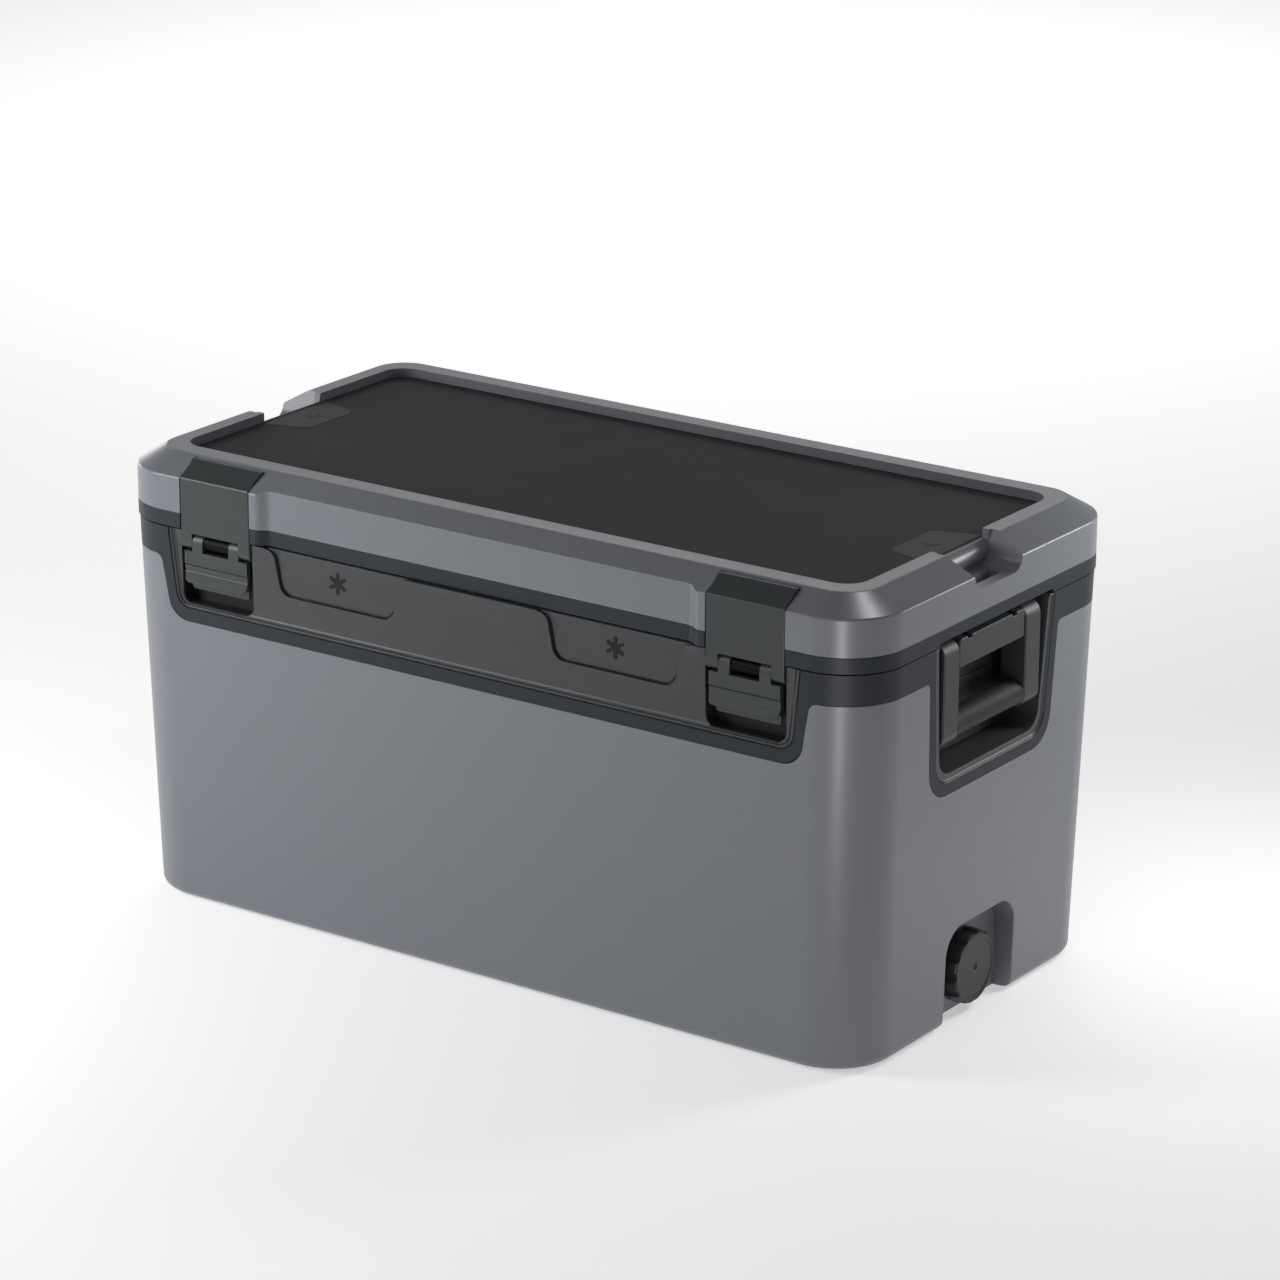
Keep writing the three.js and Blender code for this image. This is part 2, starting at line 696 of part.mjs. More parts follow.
function latchBlock(side, half, y0, y1, z0, z1) {
  const [x0, x1] = acrossLatch(side, half);
  return block(x0, x1, y0, y1, z0, z1);
}

function makeLatchStrap(side) {
  const [x0, x1] = acrossLatch(side, STRAP_HALF);
  const crease = LID_CREASE + 0.6;
  const profile = polygon([
    [STRAP_BACK, LEVER_PIVOT_Z],
    [STRAP_BACK, crease - 4],
    [STRAP_PIN_Y + 2.4, STRAP_PIN_Z - 3.7],
    [STRAP_PIN_Y - 2.4, STRAP_PIN_Z + 3.7],
    [STRAP_FRONT, crease],
    [STRAP_FRONT, LEVER_PIVOT_Z],
  ]);
  return cut(
    join(
      sidePrism(profile, x0, x1),
      latchRod(side, STRAP_KNUCKLE, STRAP_HALF, STRAP_PIN_Y, STRAP_PIN_Z, 20),
      latchRod(side, LEVER_KNUCKLE, STRAP_HALF, LEVER_PIVOT_Y, LEVER_PIVOT_Z, 24),
    ),
    latchBlock(side, EAR_INNER, -HALF_DEPTH - 1, 0, 0, LEVER_PIVOT_Z + LEVER_KNUCKLE + 0.5),
    latchRod(side, STRAP_PIN_RADIUS + GAP, STRAP_HALF + 1, STRAP_PIN_Y, STRAP_PIN_Z, 12),
    latchRod(side, LEVER_PIN_RADIUS + GAP, STRAP_HALF + 1, LEVER_PIVOT_Y, LEVER_PIVOT_Z, 12),
  );
}

function makeLatchLever(side) {
  const front = STRAP_FRONT;
  const back = STRAP_BACK + GAP;
  const plate = latchBlock(side, LEVER_HALF, front, back, LEVER_BOTTOM, LEVER_PLATE_TOP);
  const lip = latchBlock(side, LEVER_HALF - 2, back - 1, back + 2, LEVER_BOTTOM, LEVER_BOTTOM + 3);
  const knuckles = join(
    latchRod(side, LEVER_KNUCKLE, EAR_INNER - GAP, LEVER_PIVOT_Y, LEVER_PIVOT_Z, 24),
    latchBlock(side, EAR_INNER - GAP, front, LEVER_PIVOT_Y, LEVER_PLATE_TOP - 1, LEVER_PIVOT_Z),
  );
  const hook = latchBlock(side, HOOK_HALF, back - 1, HOOK_BACK, HOOK_BOTTOM, HOOK_TOP);
  return cut(
    join(plate, lip, knuckles, hook),
    latchBlock(side, ROLLER_HALF + GAP, -HALF_DEPTH - 1, 0, LEVER_PLATE_TOP, HEIGHT),
    latchRod(side, LEVER_PIN_RADIUS + GAP, STRAP_HALF, LEVER_PIVOT_Y, LEVER_PIVOT_Z, 12),
  );
}

const makeLatchRoller = (side) =>
  cut(
    latchRod(side, LEVER_KNUCKLE, ROLLER_HALF, LEVER_PIVOT_Y, LEVER_PIVOT_Z, 24),
    latchRod(side, LEVER_PIN_RADIUS + GAP, ROLLER_HALF + 1, LEVER_PIVOT_Y, LEVER_PIVOT_Z, 12),
  );

const makeLatchPin = (side) =>
  latchRod(side, LEVER_PIN_RADIUS, STRAP_HALF - 1, LEVER_PIVOT_Y, LEVER_PIVOT_Z, 12);

const strapPinSolid = (side, grow) =>
  latchRod(side, STRAP_PIN_RADIUS + grow, STRAP_PIN_HALF + grow, STRAP_PIN_Y, STRAP_PIN_Z, 12);

const makeLatchKeeper = (side) =>
  latchBlock(side, KEEPER_HALF, KEEPER_FRONT, WELL_BACK - GAP, KEEPER_BOTTOM, KEEPER_TOP);

// Channel in the lid in which a strap lies; `grow` adds the lid's wall around it.
function strapChannelTool(side, grow) {
  const back = STRAP_BACK + 0.8 + grow;
  const profile = polygon([
    [-HALF_DEPTH - BEYOND, LID_BOTTOM - BEYOND],
    [back, LID_BOTTOM - BEYOND],
    [back, LID_CREASE - 3 - grow],
    [STRAP_PIN_Y + 5 + grow, STRAP_PIN_Z - 5.6 - grow],
    [STRAP_PIN_Y + 5 + grow, HEIGHT + 1],
    [-HALF_DEPTH - BEYOND, HEIGHT + 1],
  ]);
  const [x0, x1] = acrossLatch(side, STRAP_HALF + 0.6 + grow);
  return sidePrism(profile, x0, x1);
}

// ---------------------------------------------------------------- lid

// Shallow recess in the middle of the lid's front.
function lidFrontRecessTool(grow) {
  const outline = polygon([
    [-RECESS_HALF - grow, LID_BOTTOM - BEYOND],
    [RECESS_HALF + grow, LID_BOTTOM - BEYOND],
    [RECESS_HALF + grow, LID_CREASE],
    [RECESS_TOP_HALF + grow, HEIGHT + 1],
    [-RECESS_TOP_HALF - grow, HEIGHT + 1],
    [-RECESS_HALF - grow, LID_CREASE],
  ]);
  return frontPrism(outline, RECESS_FACE + grow, -HALF_DEPTH - BEYOND);
}

// Notch in the rim at each end of the lid, with a slot for a padlock or strap in its floor.
function endNotchTool(side, grow) {
  const outline = bucketOutline(
    NOTCH_TOP_HALF + grow,
    NOTCH_BOTTOM_HALF + grow,
    HEIGHT + 1,
    NOTCH_FLOOR - grow,
    NOTCH_CORNER,
  );
  const half = SLOT_HALF + grow;
  const slotFloor = NOTCH_FLOOR - SLOT_DEPTH - grow;
  const slot = endBlock(side, SLOT_FROM - grow, SLOT_TO + grow, -half, half, slotFloor, HEIGHT);
  return join(endPrism(outline, side, NOTCH_FROM - grow, HALF_LENGTH + BEYOND), slot);
}

// Space above each handle pocket, cut into the lid's lower edge.
const fingerReliefTool = (side) =>
  endBlock(side, RELIEF_FROM, HALF_LENGTH + 1, -RELIEF_HALF, RELIEF_HALF, LID_BOTTOM - 1, RELIEF_TOP);

const lidBlock = (levels) => layeredBlock(HALF_LENGTH, HALF_DEPTH, CORNER, levels);

function makeLidCavity(shrink) {
  const floor = MAT_TOP - MAT_THICKNESS - GAP - LID_WALL - shrink;
  const inside = lidBlock([
    [TRIM_TOP - 1, LID_WALL + shrink],
    [floor - 10, LID_WALL + shrink],
    [floor, LID_WALL + 16 + shrink],
  ]);
  return cut(
    inside,
    ...onBothSides((side) => strapChannelTool(side, LID_WALL - 1 + shrink)),
    lidFrontRecessTool(LID_WALL - 1 + shrink),
    ...onBothSides((side) => endNotchTool(side, LID_WALL - 1.5 + shrink)),
  );
}

function makeLidOuter() {
  const outside = lidBlock([
    [TRIM_TOP + GAP, 0],
    [LID_CREASE, 0],
    [HEIGHT, RIM_INSET],
  ]);
  return cut(
    outside,
    makeLidCavity(0),
    layeredBlock(MAT_HALF_LENGTH, MAT_HALF_DEPTH, MAT_CORNER, [
      [MAT_TOP - MAT_THICKNESS - GAP, 0],
      [HEIGHT + 1, 0],
    ]),
    ...onBothSides((side) => strapChannelTool(side, 0)),
    ...onBothSides((side) => strapPinSolid(side, GAP)),
    lidFrontRecessTool(0),
    ...onBothSides((side) => endNotchTool(side, 0)),
  );
}

function makeLidTrim() {
  return cut(
    lidBlock([[LID_BOTTOM, 0], [TRIM_TOP, 0]]),
    lidBlock([[LID_BOTTOM - 1, TRIM_WIDTH], [TRIM_TOP + 1, TRIM_WIDTH]]),
    ...onBothSides((side) => strapChannelTool(side, 0)),
    lidFrontRecessTool(0),
    ...onBothSides(fingerReliefTool),
    ...onBothSides(lidHingeSeatTool),
  );
}

function makeLidInner() {
  const panTop = LID_PAN_BOTTOM + LID_PAN_THICKNESS;
  const panInset = TRIM_WIDTH + GAP;
  const pan = lidBlock([[LID_PAN_BOTTOM, panInset], [panTop, panInset]]);
  const plug = layeredBlock(PLUG_HALF_LENGTH, PLUG_HALF_DEPTH, LINER_CORNER, [
    [PLUG_BOTTOM, PLUG_WALL],
    [panTop, 0],
  ]);
  const hollow = layeredBlock(PLUG_HALF_LENGTH - PLUG_WALL, PLUG_HALF_DEPTH - PLUG_WALL, LINER_CORNER, [
    [PLUG_BOTTOM + PLUG_WALL, PLUG_WALL],
    [panTop + 1, 0],
  ]);
  return cut(join(pan, plug), hollow);
}

function makeLidFoam() {
  const panTop = LID_PAN_BOTTOM + LID_PAN_THICKNESS;
  const low = lidBlock([
    [panTop + GAP, TRIM_WIDTH + GAP],
    [TRIM_TOP + 3, TRIM_WIDTH + GAP],
  ]);
  const wall = PLUG_WALL + GAP;
  const plug = layeredBlock(PLUG_HALF_LENGTH - wall, PLUG_HALF_DEPTH - wall, LINER_CORNER, [
    [PLUG_BOTTOM + wall, PLUG_WALL],
    [panTop + 1, 0],
  ]);
  const high = makeLidCavity(GAP).intersect(
    block(-HALF_LENGTH, HALF_LENGTH, -HALF_DEPTH, HALF_DEPTH, TRIM_TOP + GAP, HEIGHT),
  );
  return cut(join(low, plug, high), ...onBothSides((side) => endNotchTool(side, LID_WALL)));
}

const makeLidMat = () =>
  layeredBlock(MAT_HALF_LENGTH - GAP, MAT_HALF_DEPTH - GAP, MAT_CORNER, [
    [MAT_TOP - MAT_THICKNESS, 0],
    [MAT_TOP, 0],
  ]).subtract(join(...onBothSides((side) => endNotchTool(side, GAP))));

function makeLidGasket() {
  const ring = (grow) =>
    layeredBlock(GASKET_HALF_LENGTH + grow, GASKET_HALF_DEPTH + grow, LINER_CORNER + grow, [
      [LINER_TOP + GAP - (grow ? 0 : 1), 0],
      [LID_PAN_BOTTOM - GAP + (grow ? 0 : 1), 0],
    ]);
  return cut(ring(GASKET_WIDTH), ring(0));
}

// ---------------------------------------------------------------- rear hinges

function makeBodyHinge(side) {
  const [x0, x1] = [side * HINGE_X - HINGE_HALF, side * HINGE_X + HINGE_HALF];
  const leafTop = HINGE_Z - HINGE_KNUCKLE - 0.5;
  const leaf = block(x0, x1, REBATE_Y + 0.6, HALF_DEPTH - 1.6, leafTop - HINGE_LEAF, leafTop);
  const knuckle = join(
    rodAlongX(HINGE_KNUCKLE, x0, x1, HINGE_Y, HINGE_Z, 20),
    block(x0, x1, HINGE_Y - 4, HINGE_Y + 4, leafTop - 1, HINGE_Z),
  );
  const [k0, k1] = [side * HINGE_X - HINGE_SPLIT, side * HINGE_X + HINGE_SPLIT];
  const middle = block(k0, k1, REBATE_Y, HALF_DEPTH + 1, leafTop, HEIGHT);
  return cut(join(leaf, knuckle), middle, hingePinSolid(side, GAP));
}

function makeLidHinge(side) {
  const [x0, x1] = [side * HINGE_X - HINGE_HALF, side * HINGE_X + HINGE_HALF];
  const [k0, k1] = [side * HINGE_X - HINGE_SPLIT + GAP, side * HINGE_X + HINGE_SPLIT - GAP];
  const leafBottom = HINGE_Z + HINGE_KNUCKLE + 0.5;
  const leaf = block(x0, x1, REBATE_Y + 0.6, HALF_DEPTH - 0.4, leafBottom, leafBottom + HINGE_LEAF);
  const knuckle = join(
    rodAlongX(HINGE_KNUCKLE, k0, k1, HINGE_Y, HINGE_Z, 20),
    block(k0, k1, HINGE_Y - 4, HINGE_Y + 4, HINGE_Z, leafBottom + 1),
  );
  return cut(join(leaf, knuckle), hingePinSolid(side, GAP));
}

function hingePinSolid(side, grow) {
  const [x0, x1] = [side * HINGE_X - HINGE_HALF - grow, side * HINGE_X + HINGE_HALF + grow];
  return rodAlongX(HINGE_PIN_RADIUS + grow, x0, x1, HINGE_Y, HINGE_Z, 12);
}

// ---------------------------------------------------------------- drain

function makeDrainFitting() {
  const inner = LINER_HALF_LENGTH - LINER_WALL - 6;
  return turnedAlongX([
    [inner, DRAIN_BORE],
    [inner, DRAIN_TUBE],
    [DRAIN_FACE + GAP, DRAIN_TUBE],
    [DRAIN_FACE + GAP, DRAIN_FLANGE],
    [DRAIN_FACE + 2, DRAIN_FLANGE],
    [DRAIN_FACE + 2, DRAIN_TUBE],
    [DRAIN_FACE + 11, DRAIN_TUBE],
    [DRAIN_FACE + 11, DRAIN_BORE],
    [inner, DRAIN_BORE],
  ], 0, DRAIN_Z, 24);
}

function makeDrainNut() {
  const face = LINER_HALF_LENGTH - LINER_DRAFT - LINER_WALL - GAP;
  return cut(
    rodAlongX(DRAIN_NUT, face - 5, face, 0, DRAIN_Z, 12),
    rodAlongX(DRAIN_TUBE + GAP, face - 6, face + 1, 0, DRAIN_Z, 24),
  );
}

const makeDrainWasher = () =>
  turnedAlongX([
    [DRAIN_FACE + 2.4, DRAIN_TUBE + 0.8],
    [DRAIN_FACE + 2.4, 18.4],
    [DRAIN_FACE + 4.4, 18.4],
    [DRAIN_FACE + 4.4, DRAIN_TUBE + 0.8],
    [DRAIN_FACE + 2.4, DRAIN_TUBE + 0.8],
  ], 0, DRAIN_Z, 24);

function makeDrainCap() {
  const cap = turnedAlongX([
    [DRAIN_FACE + 1, 24],
    [DRAIN_FACE + 1, 32],
    [DRAIN_FACE + 3, 33],
    [CAP_FRONT - 3, 31.5],
    [CAP_FRONT, 29],
    [CAP_FRONT, 0],
    [DRAIN_FACE + 12, 0],
    [DRAIN_FACE + 12, DRAIN_TUBE + 0.8],
    [DRAIN_FACE + 4.7, DRAIN_TUBE + 0.8],
    [DRAIN_FACE + 4.7, 20],
    [DRAIN_FACE + 1, 20],
    [DRAIN_FACE + 1, 24],
  ], 0, DRAIN_Z, 24);
  const flutes = Array.from({ length: CAP_FLUTES }, (_, i) => {
    const angle = (2 * Math.PI * i) / CAP_FLUTES;
    const y = Math.cos(angle) * CAP_FLUTE_CIRCLE;
    const z = DRAIN_Z + Math.sin(angle) * CAP_FLUTE_CIRCLE;
    return rodAlongX(CAP_FLUTE_RADIUS, DRAIN_FACE, CAP_FRONT - 2.5, y, z, 8);
  });
  return cut(cap, ...flutes);
}

// ---------------------------------------------------------------- assembly

const group = new THREE.Group();

function addNode(name, solid, material) {
  const mesh = new THREE.Mesh(toGeometry(solid), material);
  mesh.name = name;
  group.add(mesh);
}

addNode('outer_shell', makeOuterShell(), GREY_SHELL);
addNode('body_foam', makeBodyFoam(), FOAM);
addNode('inner_liner', makeInnerLiner(), LINER_WHITE);
addNode('body_collar', makeBodyCollar(), NAVY_TRIM);
addNode('front_panel', makeFrontPanel(), DARK_PANEL);
FOOT_PLACES.forEach((place, i) => addNode(FOOT_NAMES[i], footSolid(place, 0, 0), GRIP_RUBBER));

addNode('lid_outer', makeLidOuter(), GREY_SHELL);
addNode('lid_trim', makeLidTrim(), NAVY_TRIM);
addNode('lid_foam', makeLidFoam(), FOAM);
addNode('lid_inner', makeLidInner(), LINER_WHITE);
addNode('lid_mat', makeLidMat(), MAT_RUBBER);
addNode('lid_gasket', makeLidGasket(), SEAL_RUBBER);

addNode('drain_fitting', makeDrainFitting(), DARK_PANEL);
addNode('drain_nut', makeDrainNut(), DARK_PANEL);
addNode('drain_washer', makeDrainWasher(), SEAL_RUBBER);
addNode('drain_cap', makeDrainCap(), DARK_PANEL);

for (const [name, side] of SIDES) {
  addNode(`accessory_cover_${name}`, makeAccessoryCover(side), DARK_PANEL);
  addNode(`handle_pocket_${name}`, makeHandlePocket(side), DARK_PANEL);
  addNode(`handle_bracket_${name}`, makeHandleBracket(side), HANDLE_PLASTIC);
  addNode(`handle_screw_front_${name}`, makeBracketScrew(side, -1), STEEL);
  addNode(`handle_screw_rear_${name}`, makeBracketScrew(side, 1), STEEL);
  addNode(`handle_pin_${name}`, makeHandlePin(side), STEEL);
  addNode(`handle_frame_${name}`, makeHandleFrame(side), HANDLE_PLASTIC);
  addNode(`handle_grip_${name}`, makeHandleGrip(side), GRIP_RUBBER);
  addNode(`latch_well_${name}`, makeLatchWell(side), DARK_PANEL);
  addNode(`latch_keeper_${name}`, makeLatchKeeper(side), STEEL);
  addNode(`latch_strap_${name}`, makeLatchStrap(side), LATCH_PLASTIC);
  addNode(`latch_lever_${name}`, makeLatchLever(side), LATCH_PLASTIC);
  addNode(`latch_roller_${name}`, makeLatchRoller(side), GLOSS_BLACK);
  addNode(`latch_pin_${name}`, makeLatchPin(side), STEEL);
  addNode(`strap_pin_${name}`, strapPinSolid(side, 0), STEEL);
  addNode(`body_hinge_${name}`, makeBodyHinge(side), STEEL);
  addNode(`lid_hinge_${name}`, makeLidHinge(side), STEEL);
  addNode(`hinge_pin_${name}`, hingePinSolid(side, 0), STEEL);
}

export default group;
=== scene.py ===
"""Looks of a hard ice chest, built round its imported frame. Pieces are shaped in millimetres and
put into metres when they are finished. The front faces -Y and the drain end faces +X."""
import math

import bmesh
import bpy
from mathutils import Matrix, Vector


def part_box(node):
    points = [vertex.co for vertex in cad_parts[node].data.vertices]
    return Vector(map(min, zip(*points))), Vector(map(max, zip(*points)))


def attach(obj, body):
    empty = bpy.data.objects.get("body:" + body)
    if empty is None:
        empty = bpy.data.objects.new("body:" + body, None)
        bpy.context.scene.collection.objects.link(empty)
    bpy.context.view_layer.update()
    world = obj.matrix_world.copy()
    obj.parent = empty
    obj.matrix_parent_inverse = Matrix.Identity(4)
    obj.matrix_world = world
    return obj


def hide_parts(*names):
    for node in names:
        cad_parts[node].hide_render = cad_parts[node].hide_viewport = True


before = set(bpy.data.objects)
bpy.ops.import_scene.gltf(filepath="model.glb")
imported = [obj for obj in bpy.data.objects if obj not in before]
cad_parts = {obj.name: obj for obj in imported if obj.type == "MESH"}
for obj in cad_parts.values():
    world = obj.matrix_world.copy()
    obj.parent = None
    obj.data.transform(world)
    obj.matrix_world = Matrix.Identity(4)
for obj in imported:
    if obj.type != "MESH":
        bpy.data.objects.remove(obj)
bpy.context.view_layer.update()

MM = 0.001
SIDES = (("left", -1), ("right", 1))


def box_mm(node):
    """Lowest and highest corner of a frame node, in millimetres."""
    low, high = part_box(node)
    return low / MM, high / MM


# ---------------------------------------------------------------- sizes from the frame
LID_HIGH = box_mm("lid_outer")[1]
HALF_LENGTH = LID_HIGH.x
HALF_DEPTH = LID_HIGH.y
HEIGHT = LID_HIGH.z
CORNER = 57.0
SHELL_LOW, SHELL_HIGH = box_mm("outer_shell")
COLLAR_LOW, COLLAR_HIGH = box_mm("body_collar")
BODY_BOTTOM = SHELL_LOW.z
SHELL_TOP = SHELL_HIGH.z
BODY_TOP = COLLAR_HIGH.z
BODY_STEP_IN = HALF_LENGTH - COLLAR_HIGH.x
DRAFT = 8.6
COLLAR_BOTTOM = 330.0
COLLAR_THICKNESS = 8.0
APRON_BOTTOM = 272.0
END_APRON_BOTTOM = COLLAR_LOW.z
BEYOND = 30.0
FAR = 430
GAP = 0.3
SKIRT_REACH = 131
HINGE_SEAT_FLOOR = 348.0
LID_WALL = 14
LID_ARC_STEPS = 18
DRAIN_Z = 40.0
DRAIN_BORE = 9.7
LINER_HALF_X = 347
LINER_HALF_Y = 161
LINER_CORNER = 30
FOOT_LOW, FOOT_HIGH = box_mm("foot_rear_right")
FEET_X = (-(FOOT_LOW.x + FOOT_HIGH.x) / 2, (FOOT_LOW.x + FOOT_HIGH.x) / 2)
FEET_Y = (-(FOOT_LOW.y + FOOT_HIGH.y) / 2, (FOOT_LOW.y + FOOT_HIGH.y) / 2)
ARC_STEPS = 14

# ---------------------------------------------------------------- camera
CAMERA_AT = Vector((2.3986, -3.3863, 1.6553))
CAMERA_TARGET = Vector((0.0334, 0.0, 0.2678))
CAMERA_ROLL = math.radians(0.303)
CAMERA_LENS = 138.27


def make_camera():
    data = bpy.data.cameras.new("camera")
    data.lens = CAMERA_LENS
    data.sensor_width = 36.0
    data.clip_end = 50.0
    camera = bpy.data.objects.new("camera", data)
    bpy.context.scene.collection.objects.link(camera)
    forward = (CAMERA_TARGET - CAMERA_AT).normalized()
    right = forward.cross(Vector((0, 0, 1))).normalized()
    up = right.cross(forward)
    tilted_right = right * math.cos(CAMERA_ROLL) + up * math.sin(CAMERA_ROLL)
    tilted_up = up * math.cos(CAMERA_ROLL) - right * math.sin(CAMERA_ROLL)
    turn = Matrix((tilted_right, tilted_up, -forward)).transposed()
    camera.matrix_world = Matrix.Translation(CAMERA_AT) @ turn.to_4x4()
    bpy.context.scene.camera = camera


make_camera()


# ---------------------------------------------------------------- shaping
def body_inset(z):
    """How far the body's faces stand inside the lid's at height z."""
    return BODY_STEP_IN + DRAFT * (BODY_TOP - z) / BODY_TOP


def rounded_block(half_x, half_y, radius, low, high, steps=ARC_STEPS):
    """An upright block with rounded corners in plan, from low to high."""
    bm = bmesh.new()
    bmesh.ops.create_cube(bm, size=2.0)
    bmesh.ops.scale(bm, vec=(half_x, half_y, (high - low) / 2), verts=bm.verts)
    bmesh.ops.translate(bm, vec=(0, 0, (high + low) / 2), verts=bm.verts)
    upright = [e for e in bm.edges if abs(e.verts[0].co.z - e.verts[1].co.z) > 1e-3]
    bmesh.ops.bevel(bm, geom=upright, offset=radius, segments=steps, profile=0.5,
                    affect="EDGES", material=-1)
    return bm


def step_in(bm, inset_at):
    """Moves each vertex in towards the middle by inset_at(its height)."""
    for vert in bm.verts:
        inset = inset_at(vert.co.z)
        vert.co.x -= math.copysign(inset, vert.co.x)
        vert.co.y -= math.copysign(inset, vert.co.y)
    return bm


def body_block(low, high, inward=0.0, steps=ARC_STEPS):
    """A block that follows the body's drafted faces, `inward` inside them."""
    bm = rounded_block(HALF_LENGTH, HALF_DEPTH, CORNER, low, high, steps)
    return step_in(bm, lambda z: body_inset(z) + inward)


def block(low, high):
    bm = bmesh.new()
    bmesh.ops.create_cube(bm, size=1.0)
    size = [h - l for l, h in zip(low, high)]
    bmesh.ops.scale(bm, vec=size, verts=bm.verts)
    bmesh.ops.translate(bm, vec=[(h + l) / 2 for l, h in zip(low, high)], verts=bm.verts)
    return bm


TURNS = {
    "front": Matrix(((1, 0, 0), (0, 0, 1), (0, 1, 0))),
    "end": Matrix(((0, 0, 1), (1, 0, 0), (0, 1, 0))),
    "top": Matrix(((1, 0, 0), (0, 1, 0), (0, 0, 1))),
}


def prism(facing, corners, start, stop, steps=8):
    """A prism from start to stop along Y (front), X (end) or Z (top). Each corner of its outline is
    (across, up) or (across, up, rounding)."""
    bm = bmesh.new()
    verts = [bm.verts.new((c[0], c[1], start)) for c in corners]
    bm.faces.new(verts)
    for vert, corner in zip(verts, corners):
        if len(corner) > 2:
            bmesh.ops.bevel(bm, geom=[vert], offset=corner[2], segments=steps, profile=0.5,
                            affect="VERTICES", material=-1)
    grown = bmesh.ops.extrude_face_region(bm, geom=bm.faces[:])
    moved = [g for g in grown["geom"] if isinstance(g, bmesh.types.BMVert)]
    bmesh.ops.translate(bm, vec=(0, 0, stop - start), verts=moved)
    bmesh.ops.transform(bm, matrix=TURNS[facing].to_4x4(), verts=bm.verts)
    bmesh.ops.recalc_face_normals(bm, faces=bm.faces)
    return bm


def rod(axis, radius, start, stop, middle, facets=32):
    """A round bar along X or Y; middle is its centre in the other two directions."""
    bm = bmesh.new()
    bmesh.ops.create_cone(bm, cap_ends=True, segments=facets, radius1=radius, radius2=radius,
                          depth=stop - start)
    along = (start + stop) / 2
    if axis == "X":
        turn = Matrix.Rotation(math.pi / 2, 4, "Y")
        place = (along, middle[0], middle[1])
    else:
        turn = Matrix.Rotation(-math.pi / 2, 4, "X")
        place = (middle[0], along, middle[1])
    bmesh.ops.transform(bm, matrix=Matrix.Translation(place) @ turn, verts=bm.verts)
    return bm


def spun(points, centre, axis, steps):
    """Closes the points into a ring and turns it all the way round an axis."""
    bm = bmesh.new()
    verts = [bm.verts.new(point) for point in points]
    ring = [bm.edges.new((a, b)) for a, b in zip(verts, verts[1:] + verts[:1])]
    bmesh.ops.spin(bm, geom=verts + ring, cent=centre, axis=axis, angle=math.tau, steps=steps,
                   use_merge=True)
    bmesh.ops.recalc_face_normals(bm, faces=bm.faces)
    return bm


def mirrored(bm):
    """The same shape on the other end of the chest."""
    bmesh.ops.scale(bm, vec=(-1, 1, 1), verts=bm.verts)
    bmesh.ops.reverse_faces(bm, faces=bm.faces)
    return bm


def on_side(bm, side):
    return bm if side > 0 else mirrored(bm)


def moved(bm, x=0.0, y=0.0, z=0.0):
    bmesh.ops.translate(bm, vec=(x, y, z), verts=bm.verts)
    return bm


def working_object(bm):
    mesh = bpy.data.meshes.new("working")
    bm.to_mesh(mesh)
    bm.free()
    work = bpy.data.objects.new("working", mesh)
    bpy.context.scene.collection.objects.link(work)
    return work


def combine(bm, tools, operation):
    """Cuts the tools from a shape (DIFFERENCE), adds them (UNION) or keeps what they share."""
    work = working_object(bm)
    helpers = [working_object(tool) for tool in tools]
    for helper in helpers:
        step = work.modifiers.new("step", "BOOLEAN")
        step.solver = "EXACT"
        step.operation = operation
        step.object = helper
    shaped = work.evaluated_get(bpy.context.evaluated_depsgraph_get())
    result = bmesh.new()
    result.from_mesh(shaped.to_mesh())
    for used in [work] + helpers:
        mesh = used.data
        bpy.data.objects.remove(used)
        bpy.data.meshes.remove(mesh)
    bmesh.ops.remove_doubles(result, verts=result.verts, dist=0.01)
    bmesh.ops.dissolve_limit(result, angle_limit=math.radians(0.6), verts=result.verts,
                             edges=result.edges)
    return result


def cut(bm, *tools):
    return combine(bm, tools, "DIFFERENCE")


def weld(bm, *tools):
    return combine(bm, tools, "UNION")


SHARP = math.radians(24)
SLIGHT = math.radians(20)
SMOOTH_UP_TO = math.radians(40)


def round_edges(bm, width, steps=3, where=None, sharp=SHARP):
    """Rounds the sharp edges whose two ends both pass the test `where`."""
    chosen = []
    for edge in bm.edges:
        if len(edge.link_faces) != 2 or edge.calc_face_angle(0) < sharp:
            continue
        if where is None or (where(edge.verts[0].co) and where(edge.verts[1].co)):
            chosen.append(edge)
    bmesh.ops.bevel(bm, geom=chosen, offset=width, segments=steps, profile=0.5,
                    affect="EDGES", clamp_overlap=True, material=-1)
    return bm


def finish(name, bm, body, material, replaces=()):
    """Puts a shape into metres, shades it and ties it to its body."""
    bmesh.ops.remove_doubles(bm, verts=bm.verts, dist=0.001)
    bmesh.ops.scale(bm, vec=(MM, MM, MM), verts=bm.verts)
    for face in bm.faces:
        face.smooth = True
    for edge in bm.edges:
        edge.smooth = len(edge.link_faces) == 2 and edge.calc_face_angle(0) < SMOOTH_UP_TO
    mesh = bpy.data.meshes.new(name)
    bm.to_mesh(mesh)
    bm.free()
    mesh.materials.append(material)
    piece = bpy.data.objects.new(name, mesh)
    bpy.context.scene.collection.objects.link(piece)
    shading = piece.modifiers.new("even_shading", "WEIGHTED_NORMAL")
    shading.keep_sharp = True
    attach(piece, body)
    if replaces:
        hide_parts(*replaces)
    return piece


